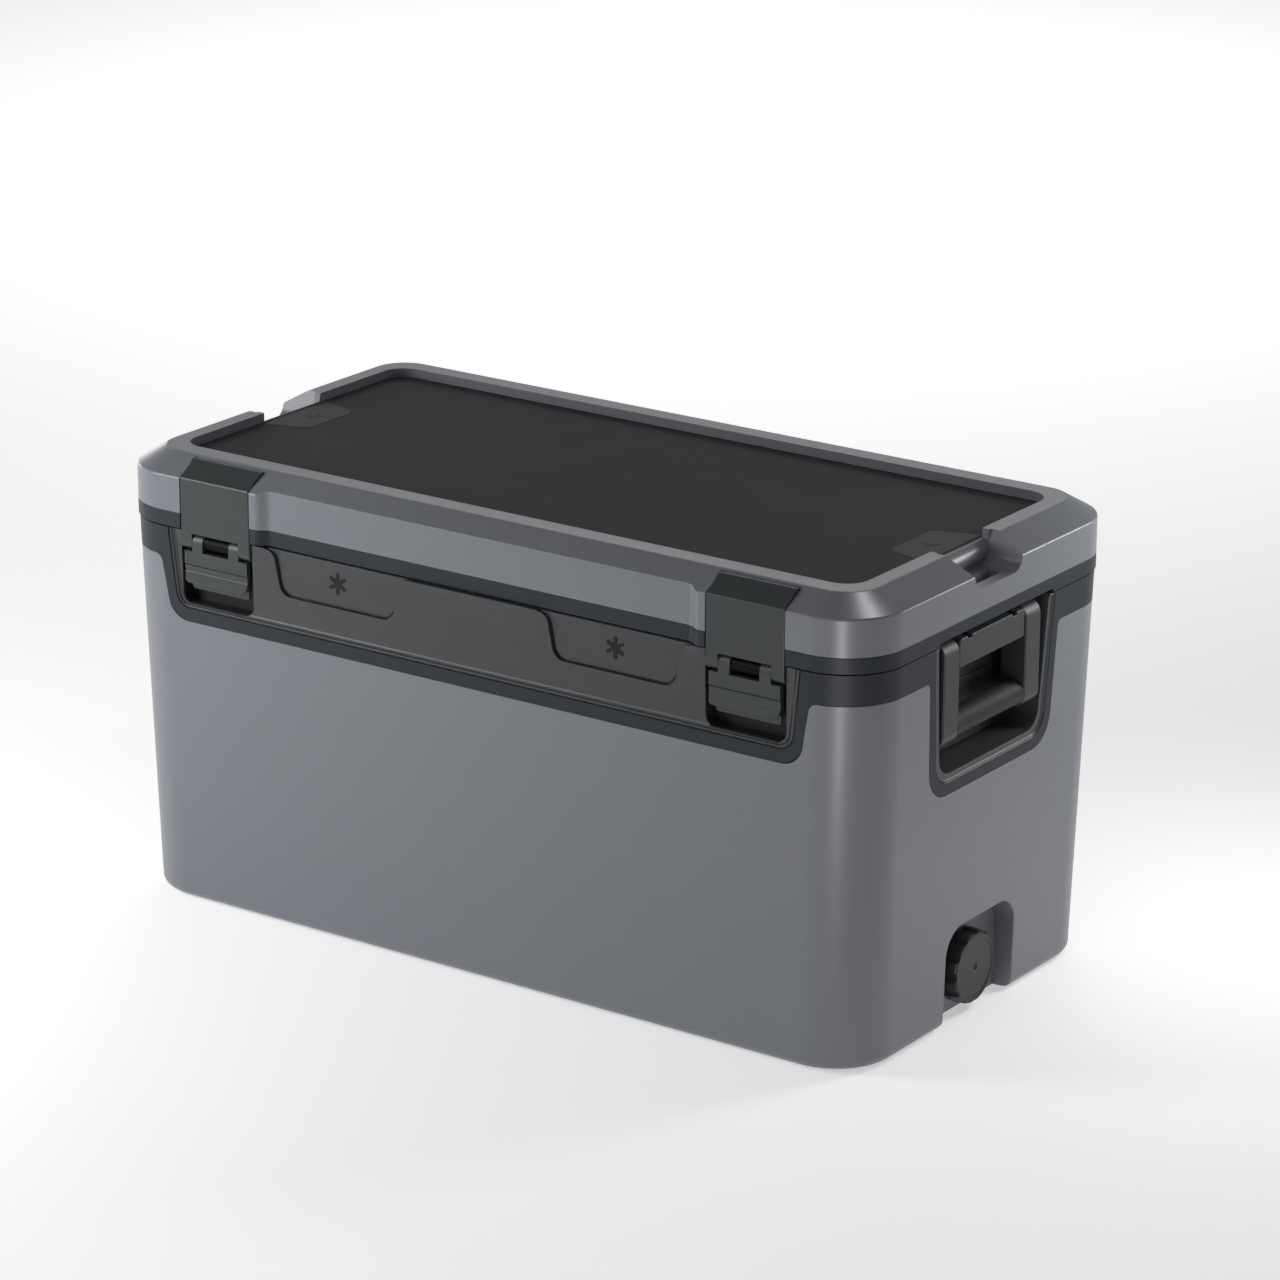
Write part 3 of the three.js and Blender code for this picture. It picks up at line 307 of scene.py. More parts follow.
# ---------------------------------------------------------------- shader groups
def new_group(name, inputs, outputs):
    """A shader node group with named float and colour sockets."""
    tree = bpy.data.node_groups.new(name, "ShaderNodeTree")
    for socket, kind, value in inputs:
        made = tree.interface.new_socket(socket, in_out="INPUT", socket_type=kind)
        if value is not None:
            made.default_value = value
    for socket, kind in outputs:
        tree.interface.new_socket(socket, in_out="OUTPUT", socket_type=kind)
    return tree, tree.nodes.new("NodeGroupInput"), tree.nodes.new("NodeGroupOutput")


FLOAT = "NodeSocketFloat"
VECTOR = "NodeSocketVector"


def noise_node(tree, scale, detail=2.0, roughness=0.5):
    node = tree.nodes.new("ShaderNodeTexNoise")
    node.inputs["Scale"].default_value = scale
    node.inputs["Detail"].default_value = detail
    node.inputs["Roughness"].default_value = roughness
    return node


def ramp_node(tree, low, high, low_value=0.0, high_value=1.0):
    node = tree.nodes.new("ShaderNodeMapRange")
    node.inputs["From Min"].default_value = low
    node.inputs["From Max"].default_value = high
    node.inputs["To Min"].default_value = low_value
    node.inputs["To Max"].default_value = high_value
    return node


def make_grain_group():
    """Fine spark-eroded grain of a mould, broken up by a slow swell."""
    tree, source, result = new_group(
        "mould_grain",
        [("Vector", VECTOR, None), ("Scale", FLOAT, 900.0), ("Swell", FLOAT, 0.25)],
        [("Height", FLOAT), ("Patches", FLOAT)],
    )
    fine = noise_node(tree, 900.0, 3.0, 0.6)
    pits = tree.nodes.new("ShaderNodeTexVoronoi")
    slow = noise_node(tree, 14.0, 2.0)
    for node in (fine, pits, slow):
        tree.links.new(source.outputs["Vector"], node.inputs["Vector"])
    tree.links.new(source.outputs["Scale"], fine.inputs["Scale"])
    tree.links.new(source.outputs["Scale"], pits.inputs["Scale"])
    mixed = tree.nodes.new("ShaderNodeMath")
    mixed.operation = "MULTIPLY_ADD"
    mixed.inputs[1].default_value = 0.5
    tree.links.new(pits.outputs["Distance"], mixed.inputs[0])
    tree.links.new(fine.outputs["Fac"], mixed.inputs[2])
    swollen = tree.nodes.new("ShaderNodeMath")
    swollen.operation = "MULTIPLY_ADD"
    tree.links.new(slow.outputs["Fac"], swollen.inputs[0])
    tree.links.new(source.outputs["Swell"], swollen.inputs[1])
    tree.links.new(mixed.outputs[0], swollen.inputs[2])
    tree.links.new(swollen.outputs[0], result.inputs["Height"])
    tree.links.new(slow.outputs["Fac"], result.inputs["Patches"])
    return tree


def make_wear_group():
    """Rubbed edges and faint scuffs: a mask from 0, new, to 1, worn."""
    tree, source, result = new_group(
        "rubbed_edges",
        [("Vector", VECTOR, None), ("Edge", FLOAT, 0.5), ("Scuff", FLOAT, 0.3)],
        [("Mask", FLOAT), ("Scuffs", FLOAT)],
    )
    geometry = tree.nodes.new("ShaderNodeNewGeometry")
    convex = ramp_node(tree, 0.52, 0.62)
    tree.links.new(geometry.outputs["Pointiness"], convex.inputs["Value"])
    broken = noise_node(tree, 60.0, 4.0, 0.65)
    broken_ramp = ramp_node(tree, 0.42, 0.66)
    stretched = tree.nodes.new("ShaderNodeMapping")
    stretched.inputs["Scale"].default_value = (1.0, 1.0, 7.0)
    scuff = noise_node(tree, 24.0, 6.0, 0.75)
    scuff_ramp = ramp_node(tree, 0.60, 0.74)
    tree.links.new(source.outputs["Vector"], broken.inputs["Vector"])
    tree.links.new(source.outputs["Vector"], stretched.inputs["Vector"])
    tree.links.new(stretched.outputs["Vector"], scuff.inputs["Vector"])
    tree.links.new(broken.outputs["Fac"], broken_ramp.inputs["Value"])
    tree.links.new(scuff.outputs["Fac"], scuff_ramp.inputs["Value"])
    edges = tree.nodes.new("ShaderNodeMath")
    edges.operation = "MULTIPLY"
    tree.links.new(convex.outputs["Result"], edges.inputs[0])
    tree.links.new(broken_ramp.outputs["Result"], edges.inputs[1])
    edge_share = tree.nodes.new("ShaderNodeMath")
    edge_share.operation = "MULTIPLY"
    tree.links.new(edges.outputs[0], edge_share.inputs[0])
    tree.links.new(source.outputs["Edge"], edge_share.inputs[1])
    scuff_share = tree.nodes.new("ShaderNodeMath")
    scuff_share.operation = "MULTIPLY"
    tree.links.new(scuff_ramp.outputs["Result"], scuff_share.inputs[0])
    tree.links.new(source.outputs["Scuff"], scuff_share.inputs[1])
    both = tree.nodes.new("ShaderNodeMath")
    both.operation = "MAXIMUM"
    tree.links.new(edge_share.outputs[0], both.inputs[0])
    tree.links.new(scuff_share.outputs[0], both.inputs[1])
    tree.links.new(both.outputs[0], result.inputs["Mask"])
    tree.links.new(scuff_share.outputs[0], result.inputs["Scuffs"])
    return tree


GRAIN = make_grain_group()
WEAR = make_wear_group()


def srgb(red, green, blue):
    """A colour from 0-255 screen values."""
    def linear(value):
        part = value / 255
        return part / 12.92 if part <= 0.04045 else ((part + 0.055) / 1.055) ** 2.4
    return (linear(red), linear(green), linear(blue), 1.0)


def group_node(tree, group, vector, **values):
    node = tree.nodes.new("ShaderNodeGroup")
    node.node_tree = group
    tree.links.new(vector, node.inputs["Vector"])
    for name, value in values.items():
        node.inputs[name].default_value = value
    return node


def moulded(name, colour, worn, roughness, grain=900.0, depth=0.00004, strength=0.35,
            edge=0.5, scuff=0.3, drift=0.10, metallic=0.0, spread=0.08, shine=0.5):
    """A moulded or cast finish: grain, slow colour drift, rubbed edges and scuffs."""
    material = bpy.data.materials.new(name)
    material.use_nodes = True
    tree = material.node_tree
    shader = tree.nodes["Principled BSDF"]
    shader.inputs["Metallic"].default_value = metallic
    shader.inputs["Specular IOR Level"].default_value = shine
    place = tree.nodes.new("ShaderNodeTexCoord").outputs["Object"]
    grains = group_node(tree, GRAIN, place, Scale=grain)
    wear = group_node(tree, WEAR, place, Edge=edge, Scuff=scuff)
    tones = tree.nodes.new("ShaderNodeMix")
    tones.data_type = "RGBA"
    tones.inputs["A"].default_value = [c * (1 - drift) for c in colour[:3]] + [1.0]
    tones.inputs["B"].default_value = [min(1.0, c * (1 + drift)) for c in colour[:3]] + [1.0]
    tree.links.new(grains.outputs["Patches"], tones.inputs["Factor"])
    rubbed = tree.nodes.new("ShaderNodeMix")
    rubbed.data_type = "RGBA"
    rubbed.inputs["B"].default_value = worn
    tree.links.new(tones.outputs["Result"], rubbed.inputs["A"])
    tree.links.new(wear.outputs["Mask"], rubbed.inputs["Factor"])
    tree.links.new(rubbed.outputs["Result"], shader.inputs["Base Color"])
    gloss = ramp_node(tree, 0.3, 0.7, roughness - spread, roughness + spread)
    tree.links.new(grains.outputs["Patches"], gloss.inputs["Value"])
    dulled = tree.nodes.new("ShaderNodeMath")
    dulled.operation = "MULTIPLY_ADD"
    dulled.use_clamp = True
    dulled.inputs[1].default_value = 0.25
    tree.links.new(wear.outputs["Scuffs"], dulled.inputs[0])
    tree.links.new(gloss.outputs["Result"], dulled.inputs[2])
    tree.links.new(dulled.outputs[0], shader.inputs["Roughness"])
    bump = tree.nodes.new("ShaderNodeBump")
    bump.inputs["Strength"].default_value = strength
    bump.inputs["Distance"].default_value = depth
    tree.links.new(grains.outputs["Height"], bump.inputs["Height"])
    tree.links.new(bump.outputs["Normal"], shader.inputs["Normal"])
    return material


SHELL_GREY = moulded("shell_grey", srgb(114, 117, 124), srgb(128, 131, 136), 0.36, grain=1400.0,
                     strength=0.2, edge=0.3, scuff=0.03, drift=0.015, spread=0.02)
NAVY = moulded("navy_trim", srgb(32, 37, 45), srgb(60, 65, 72), 0.48, grain=1500.0, strength=0.2,
               edge=0.2, scuff=0.03, drift=0.02, spread=0.02, shine=0.28)
PANEL = moulded("dark_panel", srgb(55, 57, 59), srgb(82, 84, 87), 0.42, grain=1100.0, strength=0.25,
                edge=0.3, scuff=0.03, drift=0.015, spread=0.02, shine=0.4)
LATCH = moulded("latch_plastic", srgb(50, 54, 56), srgb(84, 88, 90), 0.4, grain=1300.0,
                strength=0.25, edge=0.12, scuff=0.02, drift=0.01, spread=0.01, shine=0.4)
HANDLE = moulded("handle_plastic", srgb(48, 52, 54), srgb(72, 76, 78), 0.46, grain=1300.0,
                 strength=0.25, edge=0.4, scuff=0.03, drift=0.015, spread=0.02, shine=0.4)
GRIP = moulded("grip_rubber", srgb(40, 42, 43), srgb(66, 68, 69), 0.62, grain=700.0, depth=0.00008,
               strength=0.5, edge=0.3, scuff=0.05, drift=0.03, spread=0.03, shine=0.3)
MAT = moulded("mat_rubber", srgb(50, 51, 53), srgb(60, 61, 63), 0.8, grain=620.0, depth=0.0001,
              strength=0.4, edge=0.2, scuff=0.02, drift=0.01, spread=0.01, shine=0.2)
MAT_TAB = moulded("mat_tab_rubber", srgb(54, 55, 57), srgb(66, 67, 69), 0.65, grain=900.0,
                  edge=0.2, scuff=0.02, drift=0.01, spread=0.01, shine=0.25)
CAP = moulded("drain_plastic", srgb(38, 39, 41), srgb(70, 71, 73), 0.45, grain=1200.0, edge=0.4,
              scuff=0.05, drift=0.02, spread=0.03, shine=0.4)
# The roller is black plastic, but its near-black base colour and very low shine are pushed darker still as
# painted shade for the shadow the strap casts over it.
ROLLER = moulded("roller_black", srgb(12, 12, 14), srgb(30, 31, 33), 0.42, grain=1500.0,
                 strength=0.05, edge=0.1, scuff=0.0, drift=0.02, spread=0.02, shine=0.06)
POCKET = moulded("pocket_plastic", srgb(66, 69, 71), srgb(82, 85, 87), 0.42, grain=1100.0,
                 strength=0.25, edge=0.3, scuff=0.03, drift=0.02, spread=0.02, shine=0.4)
WELL = moulded("well_plastic", srgb(24, 25, 27), srgb(44, 45, 47), 0.5, grain=1100.0, edge=0.3,
               scuff=0.03, drift=0.02, spread=0.02, shine=0.3)
LINER = moulded("liner_white", srgb(226, 228, 230), srgb(210, 208, 202), 0.34, grain=500.0,
                strength=0.12, edge=0.1, scuff=0.08, drift=0.012, spread=0.05)
FOAM = moulded("insulation", srgb(226, 209, 158), srgb(240, 228, 190), 0.9, grain=420.0,
               depth=0.0006, strength=0.8, edge=0.2, scuff=0.2, drift=0.08)
FOOT = moulded("foot_rubber", srgb(38, 38, 40), srgb(70, 70, 70), 0.8, grain=800.0, depth=0.0001,
               strength=0.5, edge=0.4, scuff=0.3)
SEAL = moulded("seal_rubber", srgb(112, 114, 116), srgb(140, 141, 142), 0.7, grain=900.0)
STEEL = moulded("steel", srgb(186, 188, 190), srgb(222, 223, 224), 0.3, grain=300.0,
                strength=0.15, edge=0.4, scuff=0.3, drift=0.06, metallic=1.0)
MARK = moulded("dark_print", srgb(20, 21, 23), srgb(34, 35, 37), 0.6, grain=900.0, edge=0.2,
               scuff=0.05, drift=0.04, shine=0.25)


# ---------------------------------------------------------------- shared cutting tools
def bucket(top_half, bottom_half, top, bottom, radius, middle=0.0):
    """Outline of a trapezoid, wide at the top, with its lower corners rounded."""
    return [
        (middle - top_half, top),
        (middle - bottom_half, bottom, radius),
        (middle + bottom_half, bottom, radius),
        (middle + top_half, top),
    ]


POCKET_LOW = box_mm("handle_pocket_right")[0]
POCKET_BACK = POCKET_LOW.x + 3.0
POCKET_BOTTOM = POCKET_LOW.z - GAP
POCKET_TOP_HALF = 99.4
POCKET_BOTTOM_HALF = 87.0
POCKET_CORNER = 20
STRAP_LOW, STRAP_HIGH = box_mm("latch_strap_right")
LATCH_X = (STRAP_LOW.x + STRAP_HIGH.x) / 2
STRAP_HALF = (STRAP_HIGH.x - STRAP_LOW.x) / 2
WELL_HALF = 39.7
WELL_WALL = 2.0
WELL_BOTTOM = 290.0
WELL_BACK = -189.0
COVER_LOW, COVER_HIGH = box_mm("accessory_cover_right")
COVER_X = (COVER_LOW.x + COVER_HIGH.x) / 2
REBATE_Y = 191.2
REBATE_FLOOR = 349.7


def handle_pocket_tool(side, depth, grow):
    """Opening for a handle pocket, from `depth` outwards."""
    outline = bucket(POCKET_TOP_HALF + grow, POCKET_BOTTOM_HALF + grow, BODY_TOP + BEYOND,
                     POCKET_BOTTOM - grow, POCKET_CORNER + grow)
    return on_side(prism("end", outline, depth, HALF_LENGTH + BEYOND), side)


def latch_well_tool(side, grow):
    """Finger well behind a latch, open at the front and the top."""
    half = WELL_HALF + grow
    outline = bucket(half, half, BODY_TOP + BEYOND, WELL_BOTTOM - grow, 9 + grow, side * LATCH_X)
    return prism("front", outline, -HALF_DEPTH - BEYOND, WELL_BACK + grow)


def accessory_tool(side, shrink, back):
    """Open-topped front pocket whose sides flare where they meet its top."""
    middle = side * COVER_X
    ledge = BODY_TOP - 1.1 - shrink
    top, wide = BODY_TOP + 6, 79 - shrink
    upper, lower = 69.2 - shrink, 61.5 - shrink
    bottom = 316 + shrink
    outline = [
        (middle - wide, top), (middle - wide, ledge), (middle - upper, ledge, 8),
        (middle - lower, bottom, 10), (middle + lower, bottom, 10), (middle + upper, ledge, 8),
        (middle + wide, ledge), (middle + wide, top),
    ]
    return prism("front", outline, -HALF_DEPTH - BEYOND, back)


def rear_rebate_tool():
    """Step along the top of the body's rear edge."""
    return block((-HALF_LENGTH - 1, REBATE_Y, REBATE_FLOOR), (HALF_LENGTH + 1, HALF_DEPTH + 5, HEIGHT))


def hinge_seat_tool(side, low, high):
    """Seat for one hinge, with clearance at both ends."""
    hinge_low, hinge_high = box_mm("body_hinge_right")
    x0, x1 = sorted((side * (hinge_low.x - GAP), side * (hinge_high.x + GAP)))
    return block((x0, REBATE_Y, low), (x1, HALF_DEPTH + 5, high))


# ---------------------------------------------------------------- body shell
DRAIN_FACE = 372.0
DRAIN_HALF = 56.0
DRAIN_TOP = 91.0


def drain_recess_tool(grow, radius=25.0):
    outline = [
        (-DRAIN_HALF - grow, -BEYOND), (DRAIN_HALF + grow, -BEYOND),
        (DRAIN_HALF + grow, DRAIN_TOP + grow, radius), (-DRAIN_HALF - grow, DRAIN_TOP + grow, radius),
    ]
    return prism("end", outline, DRAIN_FACE - grow, HALF_LENGTH + BEYOND, steps=10)


def at_drain_mouth(point):
    return point.x > DRAIN_FACE + 2 and abs(point.y) < DRAIN_HALF + 4 and point.z < DRAIN_TOP + 2


def foot_socket_tool(x, y, radius, above):
    """Round socket for a foot, ending `above` its top."""
    depth = 8
    bm = bmesh.new()
    bmesh.ops.create_cone(bm, cap_ends=True, segments=32, radius1=radius, radius2=radius, depth=depth)
    return moved(bm, x, y, FOOT_HIGH.z + above - depth / 2)


def make_shell():
    """Drafted casing with a neck for the collar, hollow for the foam, and its openings."""
    bm = body_block(BODY_BOTTOM, COLLAR_BOTTOM - GAP)
    base = [e for e in bm.edges if all(v.co.z < BODY_BOTTOM + 0.1 for v in e.verts)]
    bmesh.ops.bevel(bm, geom=base, offset=9.0, segments=6, profile=0.5, affect="EDGES", material=-1)
    top = [f for f in bm.faces if all(v.co.z > COLLAR_BOTTOM - 1 for v in f.verts)]
    bmesh.ops.inset_region(bm, faces=top, thickness=COLLAR_THICKNESS + GAP, use_even_offset=True)
    grown = bmesh.ops.extrude_face_region(bm, geom=top)
    bmesh.ops.delete(bm, geom=top, context="FACES")
    raised = [g for g in grown["geom"] if isinstance(g, bmesh.types.BMVert)]
    bmesh.ops.translate(bm, vec=(0, 0, SHELL_TOP - COLLAR_BOTTOM + GAP), verts=raised)
    bm = cut(
        bm,
        prism("front", bucket(345.3, 335.3, COLLAR_BOTTOM + 2, APRON_BOTTOM - GAP, 18),
              -HALF_DEPTH - 5, -196.9),
        *[on_side(prism("end", bucket(104.3, 97.3, COLLAR_BOTTOM + 2, END_APRON_BOTTOM - GAP, 27),
                        390.7, HALF_LENGTH + 5), side) for _, side in SIDES],
        drain_recess_tool(0.0),
        rear_rebate_tool(),
        *[hinge_seat_tool(side, HINGE_SEAT_FLOOR, HEIGHT) for _, side in SIDES],
    )
    round_edges(bm, 5.0, 5, at_drain_mouth)
    hollow = cut(body_block(7.0, SHELL_TOP - 5, 13.0, 6), drain_recess_tool(5.0, 30.0),
                 *[foot_socket_tool(x, y, 20.0, 5.0) for x in FEET_X for y in FEET_Y])
    bm = cut(
        bm,
        hollow,
        rounded_block(LINER_HALF_X + GAP, LINER_HALF_Y + GAP, LINER_CORNER, SHELL_TOP - 6, SHELL_TOP + 1, 6),
        *[latch_well_tool(side, WELL_WALL + GAP) for _, side in SIDES],
        *[handle_pocket_tool(side, POCKET_BACK - 3.3, 0.0) for _, side in SIDES],
        rod("X", DRAIN_BORE, 340, DRAIN_FACE + 1, (0, DRAIN_Z)),
        *[foot_socket_tool(x, y, 16.4, GAP) for x in FEET_X for y in FEET_Y],
    )
    return bm


finish("body_shell", make_shell(), "body", SHELL_GREY, ("outer_shell",))


# ---------------------------------------------------------------- collar
def below_apron(reach, top_half, bottom_half, bottom, rounding):
    """Outline of what lies under the collar's lower edge, which drops in the middle to an apron."""
    foot = 200
    return [
        (-reach, foot), (-reach, COLLAR_BOTTOM), (-top_half, COLLAR_BOTTOM, 7),
        (-bottom_half, bottom, rounding), (bottom_half, bottom, rounding),
        (top_half, COLLAR_BOTTOM, 7), (reach, COLLAR_BOTTOM), (reach, foot),
    ]


def make_collar():
    """Band round the top of the body, with an apron at the front and at each end."""
    below_front = below_apron(FAR, 345.5, 335, APRON_BOTTOM, 20)
    below_end = below_apron(SKIRT_REACH, 104, 97, END_APRON_BOTTOM, 27)
    bm = cut(body_block(210, BODY_TOP), body_block(209, BODY_TOP + 1, COLLAR_THICKNESS))
    bm = cut(
        bm,
        prism("front", below_front, -230, -SKIRT_REACH),
        block((-FAR, SKIRT_REACH, 200), (FAR, 230, COLLAR_BOTTOM)),
        prism("end", below_end, -FAR, FAR),
        prism("front", bucket(340, 328, BODY_TOP + BEYOND, 284, 13), -230, -150),
        *[handle_pocket_tool(side, 340, 0.0) for _, side in SIDES],
        rear_rebate_tool(),
        *[hinge_seat_tool(side, HINGE_SEAT_FLOOR, HEIGHT) for _, side in SIDES],
    )
    return bm


def at_end_apron(point):
    return abs(point.x) > 392.5 and abs(point.y) < 97 and point.z < 356


collar_mesh = make_collar()
round_edges(collar_mesh, 3.2, 5, at_end_apron)
round_edges(collar_mesh, 0.9, 3)
finish("collar", collar_mesh, "body", NAVY, ("body_collar",))


# ---------------------------------------------------------------- front panel
def front_face(z):
    """Y of the body's front face at height z."""
    return -(HALF_DEPTH - body_inset(z))


# Each step of the panel's beaded border: how wide it is and how far it rises.
BEAD_STEPS = ((0.5, -0.8), (0.6, 0.8), (0.5, 0.4), (0.6, 0.0), (0.5, -0.4), (0.6, -1.2), (0.8, 0.0),
              (0.6, 1.0), (0.5, 0.3), (0.6, 0.0), (0.6, -0.5), (0.7, -0.4))


def make_front_panel():
    """Panel with a beaded border, open for the finger wells and the accessory covers."""
    outline = bucket(337.8, 327.7, BODY_TOP + 19, 284.3, 13)
    bm = prism("front", outline, -202, -197.2, steps=10)
    for vert in bm.verts:
        if vert.co.y < -200:
            vert.co.y = front_face(vert.co.z) + 0.4
    front = [f for f in bm.faces if f.normal.y < -0.9]
    for thickness, rise in BEAD_STEPS:
        bmesh.ops.inset_region(bm, faces=front, thickness=thickness, depth=rise, use_even_offset=True)
    return cut(
        bm,
        block((-HALF_LENGTH, -HALF_DEPTH - 5, BODY_TOP - GAP), (HALF_LENGTH, -190, BODY_TOP + BEYOND)),
        *[latch_well_tool(side, 0.6) for _, side in SIDES],
        *[accessory_tool(side, 0.0, COVER_LOW.y + 2.2) for _, side in SIDES],
    )


panel_mesh = make_front_panel()
round_edges(panel_mesh, 0.8, 3, lambda p: abs(p.x) < 327 and p.y > -206)
finish("front_panel_face", panel_mesh, "body", PANEL, ("front_panel",))


for name, side in SIDES:
    well = combine(latch_well_tool(side, WELL_WALL), [body_block(250, BODY_TOP - GAP, 2.4)], "INTERSECT")
    well = cut(well, latch_well_tool(side, 0.0))
    finish(f"finger_well_{name}", well, "body", WELL, (f"latch_well_{name}",))


def bar(length, width, turn, low, high):
    """A flat bar lying on the top plane, turned about Z."""
    half_length, half_width, rounding = length / 2, width / 2, width * 0.45
    outline = [(-half_length, -half_width, rounding), (half_length, -half_width, rounding),
               (half_length, half_width, rounding), (-half_length, half_width, rounding)]
    bm = prism("top", outline, low, high, 5)
    bmesh.ops.rotate(bm, cent=(0, 0, 0), matrix=Matrix.Rotation(turn, 3, "Z"), verts=bm.verts)
    return bm


def snow_mark(size, low, high):
    """A plain six-armed snow mark, flat on the top plane."""
    arms = [bar(size, size * 0.17, math.radians(90 + 60 * i), low, high) for i in range(3)]
    return weld(arms[0], *arms[1:])


def stood_up(bm, x, y, z):
    """Turns a shape from the top plane to face the front."""
    bmesh.ops.rotate(bm, cent=(0, 0, 0), matrix=Matrix.Rotation(math.pi / 2, 3, "X"), verts=bm.verts)
    return moved(bm, x, y, z)


for name, side in SIDES:
    cover_mesh = accessory_tool(side, 1.5, COVER_HIGH.y)
    cover_mesh = cut(
        cover_mesh,
        block((-HALF_LENGTH, -HALF_DEPTH - 60, 200), (HALF_LENGTH, COVER_LOW.y, 500)),
        block((-HALF_LENGTH, -HALF_DEPTH, BODY_TOP - GAP), (HALF_LENGTH, 0, 500)),
    )
    round_edges(cover_mesh, 0.5, 2)
    finish(f"accessory_face_{name}", cover_mesh, "body", PANEL,
           (f"accessory_cover_{name}",))
    mark = stood_up(snow_mark(20, 0, 0.5), side * COVER_X, COVER_LOW.y, 338)
    finish(f"accessory_mark_{name}", mark, "body", MARK)


# ---------------------------------------------------------------- lid
TRIM_LOW, TRIM_HIGH = box_mm("lid_trim")
LID_BOTTOM = TRIM_LOW.z
TRIM_TOP = TRIM_HIGH.z
LID_CREASE = 405.2
RIM_INSET = 26.9
MAT_LOW, MAT_HIGH = box_mm("lid_mat")
MAT_HALF_X = MAT_HIGH.x + GAP
MAT_HALF_Y = MAT_HIGH.y + GAP
STRAP_BACK = -200.2
STRAP_PIN = (-185.5, 414.8)


def strap_channel_tool(side):
    """Channel that a latch strap lies in, over the lid's front and slope."""
    back = STRAP_BACK + 0.8
    profile = [
        (-HALF_DEPTH - BEYOND, LID_BOTTOM - BEYOND), (back, LID_BOTTOM - BEYOND),
        (back, LID_CREASE - 3), (STRAP_PIN[0] + 5, STRAP_PIN[1] - 5.6),
        (STRAP_PIN[0] + 5, HEIGHT + 5), (-HALF_DEPTH - BEYOND, HEIGHT + 5),
    ]
    half = STRAP_HALF + 0.6
    return prism("end", profile, side * LATCH_X - half, side * LATCH_X + half)


def lid_front_recess_tool():
    """Shallow middle recess of the lid's front, with soft slanted ends."""
    face, floor = -HALF_DEPTH - 0.02, -199.7
    outline = [(-260, face), (-233, face, 3), (-225, floor, 3), (225, floor, 3), (233, face, 3),
               (260, face), (260, -HALF_DEPTH - 10), (-260, -HALF_DEPTH - 10)]
    return prism("top", outline, 300, HEIGHT + 5, 5)


def end_notch_tools(side):
    """Notch in an end rim, the seat of its bolster, and the slot in its floor."""
    notch = prism("end", bucket(45, 35, HEIGHT + 5, 392.6, 9), 364.6, HALF_LENGTH + BEYOND)
    seat = prism("end", bucket(42, 39, HEIGHT + 5, 404, 3), 352, 366)
    slot = prism("top", [(378, -22, 3), (389, -22, 3), (389, 20, 3), (378, 20, 3)], 383, 396)
    return [on_side(notch, side), on_side(seat, side), on_side(slot, side)]


def notch_roll(side):
    """Round bolster between the mat and the floor of a notch."""
    return on_side(rod("Y", 10.6, -41, 41, (356.4, 402.2), 48), side)


def make_lid():
    """Lid shell: upright wall, slope to the rim, recess for the mat, and its notches and channels."""
    bm = rounded_block(HALF_LENGTH, HALF_DEPTH, CORNER, TRIM_TOP + GAP, LID_CREASE, LID_ARC_STEPS)
    top = [f for f in bm.faces if f.normal.z > 0.9]
    bmesh.ops.inset_region(bm, faces=top, thickness=RIM_INSET, depth=HEIGHT - LID_CREASE,
                           use_even_offset=True)
    round_edges(bm, 1.4, 4, lambda p: abs(p.z - LID_CREASE) < 0.1, SLIGHT)
    round_edges(bm, 1.6, 3, lambda p: abs(p.z - HEIGHT) < 0.1, SLIGHT)
    tools = [strap_channel_tool(side) for _, side in SIDES] + [lid_front_recess_tool()]
    for _, side in SIDES:
        tools += end_notch_tools(side)
    bm = weld(cut(bm, *tools), *[notch_roll(side) for _, side in SIDES])
    floor = MAT_LOW.z - GAP
    recess = rounded_block(MAT_HALF_X, MAT_HALF_Y, 22, floor, HEIGHT + 4, 10)
    step_in(recess, lambda z: 0.0 if z < 415 else -1.8)
    hollow = cut(
        rounded_block(HALF_LENGTH - LID_WALL, HALF_DEPTH - LID_WALL, CORNER - LID_WALL,
                      TRIM_TOP - 2, 390, 8),
        block((-420, -60, 376), (-350, 60, 430)),
        block((350, -60, 376), (420, 60, 430)),
    )
    return cut(bm, recess, hollow)


lid_mesh = make_lid()
round_edges(lid_mesh, 1.0, 3, lambda p: p.z > TRIM_TOP + 2)
finish("lid_shell", lid_mesh, "lid", SHELL_GREY, ("lid_outer",))


def make_trim():
    """Dark band under the lid, relieved over the handles and the hinges."""
    bm = cut(
        rounded_block(HALF_LENGTH, HALF_DEPTH, CORNER, LID_BOTTOM, TRIM_TOP, LID_ARC_STEPS),
        rounded_block(HALF_LENGTH - LID_WALL, HALF_DEPTH - LID_WALL, CORNER - LID_WALL,
                      LID_BOTTOM - 1, TRIM_TOP + 1, 8),
    )
    relief_half, relief_top = 92, 361.4
    relief = [(-relief_half, LID_BOTTOM - 2), (-relief_half, relief_top, 2),
              (relief_half, relief_top, 2), (relief_half, LID_BOTTOM - 2)]
    return cut(
        bm,
        *[strap_channel_tool(side) for _, side in SIDES],
        lid_front_recess_tool(),
        prism("end", relief, -HALF_LENGTH - 1, HALF_LENGTH + 1),
        *[hinge_seat_tool(side, 300, 367.7) for _, side in SIDES],
    )


trim_mesh = make_trim()
round_edges(trim_mesh, 0.7, 2)
finish("lid_band", trim_mesh, "lid", NAVY, ("lid_trim",))


# ---------------------------------------------------------------- mat
def make_mat():
    bm = rounded_block(MAT_HIGH.x, MAT_HIGH.y, 21.7, MAT_LOW.z, MAT_HIGH.z, 10)
    return round_edges(bm, 0.9, 3)


finish("deck_mat", make_mat(), "lid", MAT, ("lid_mat",))

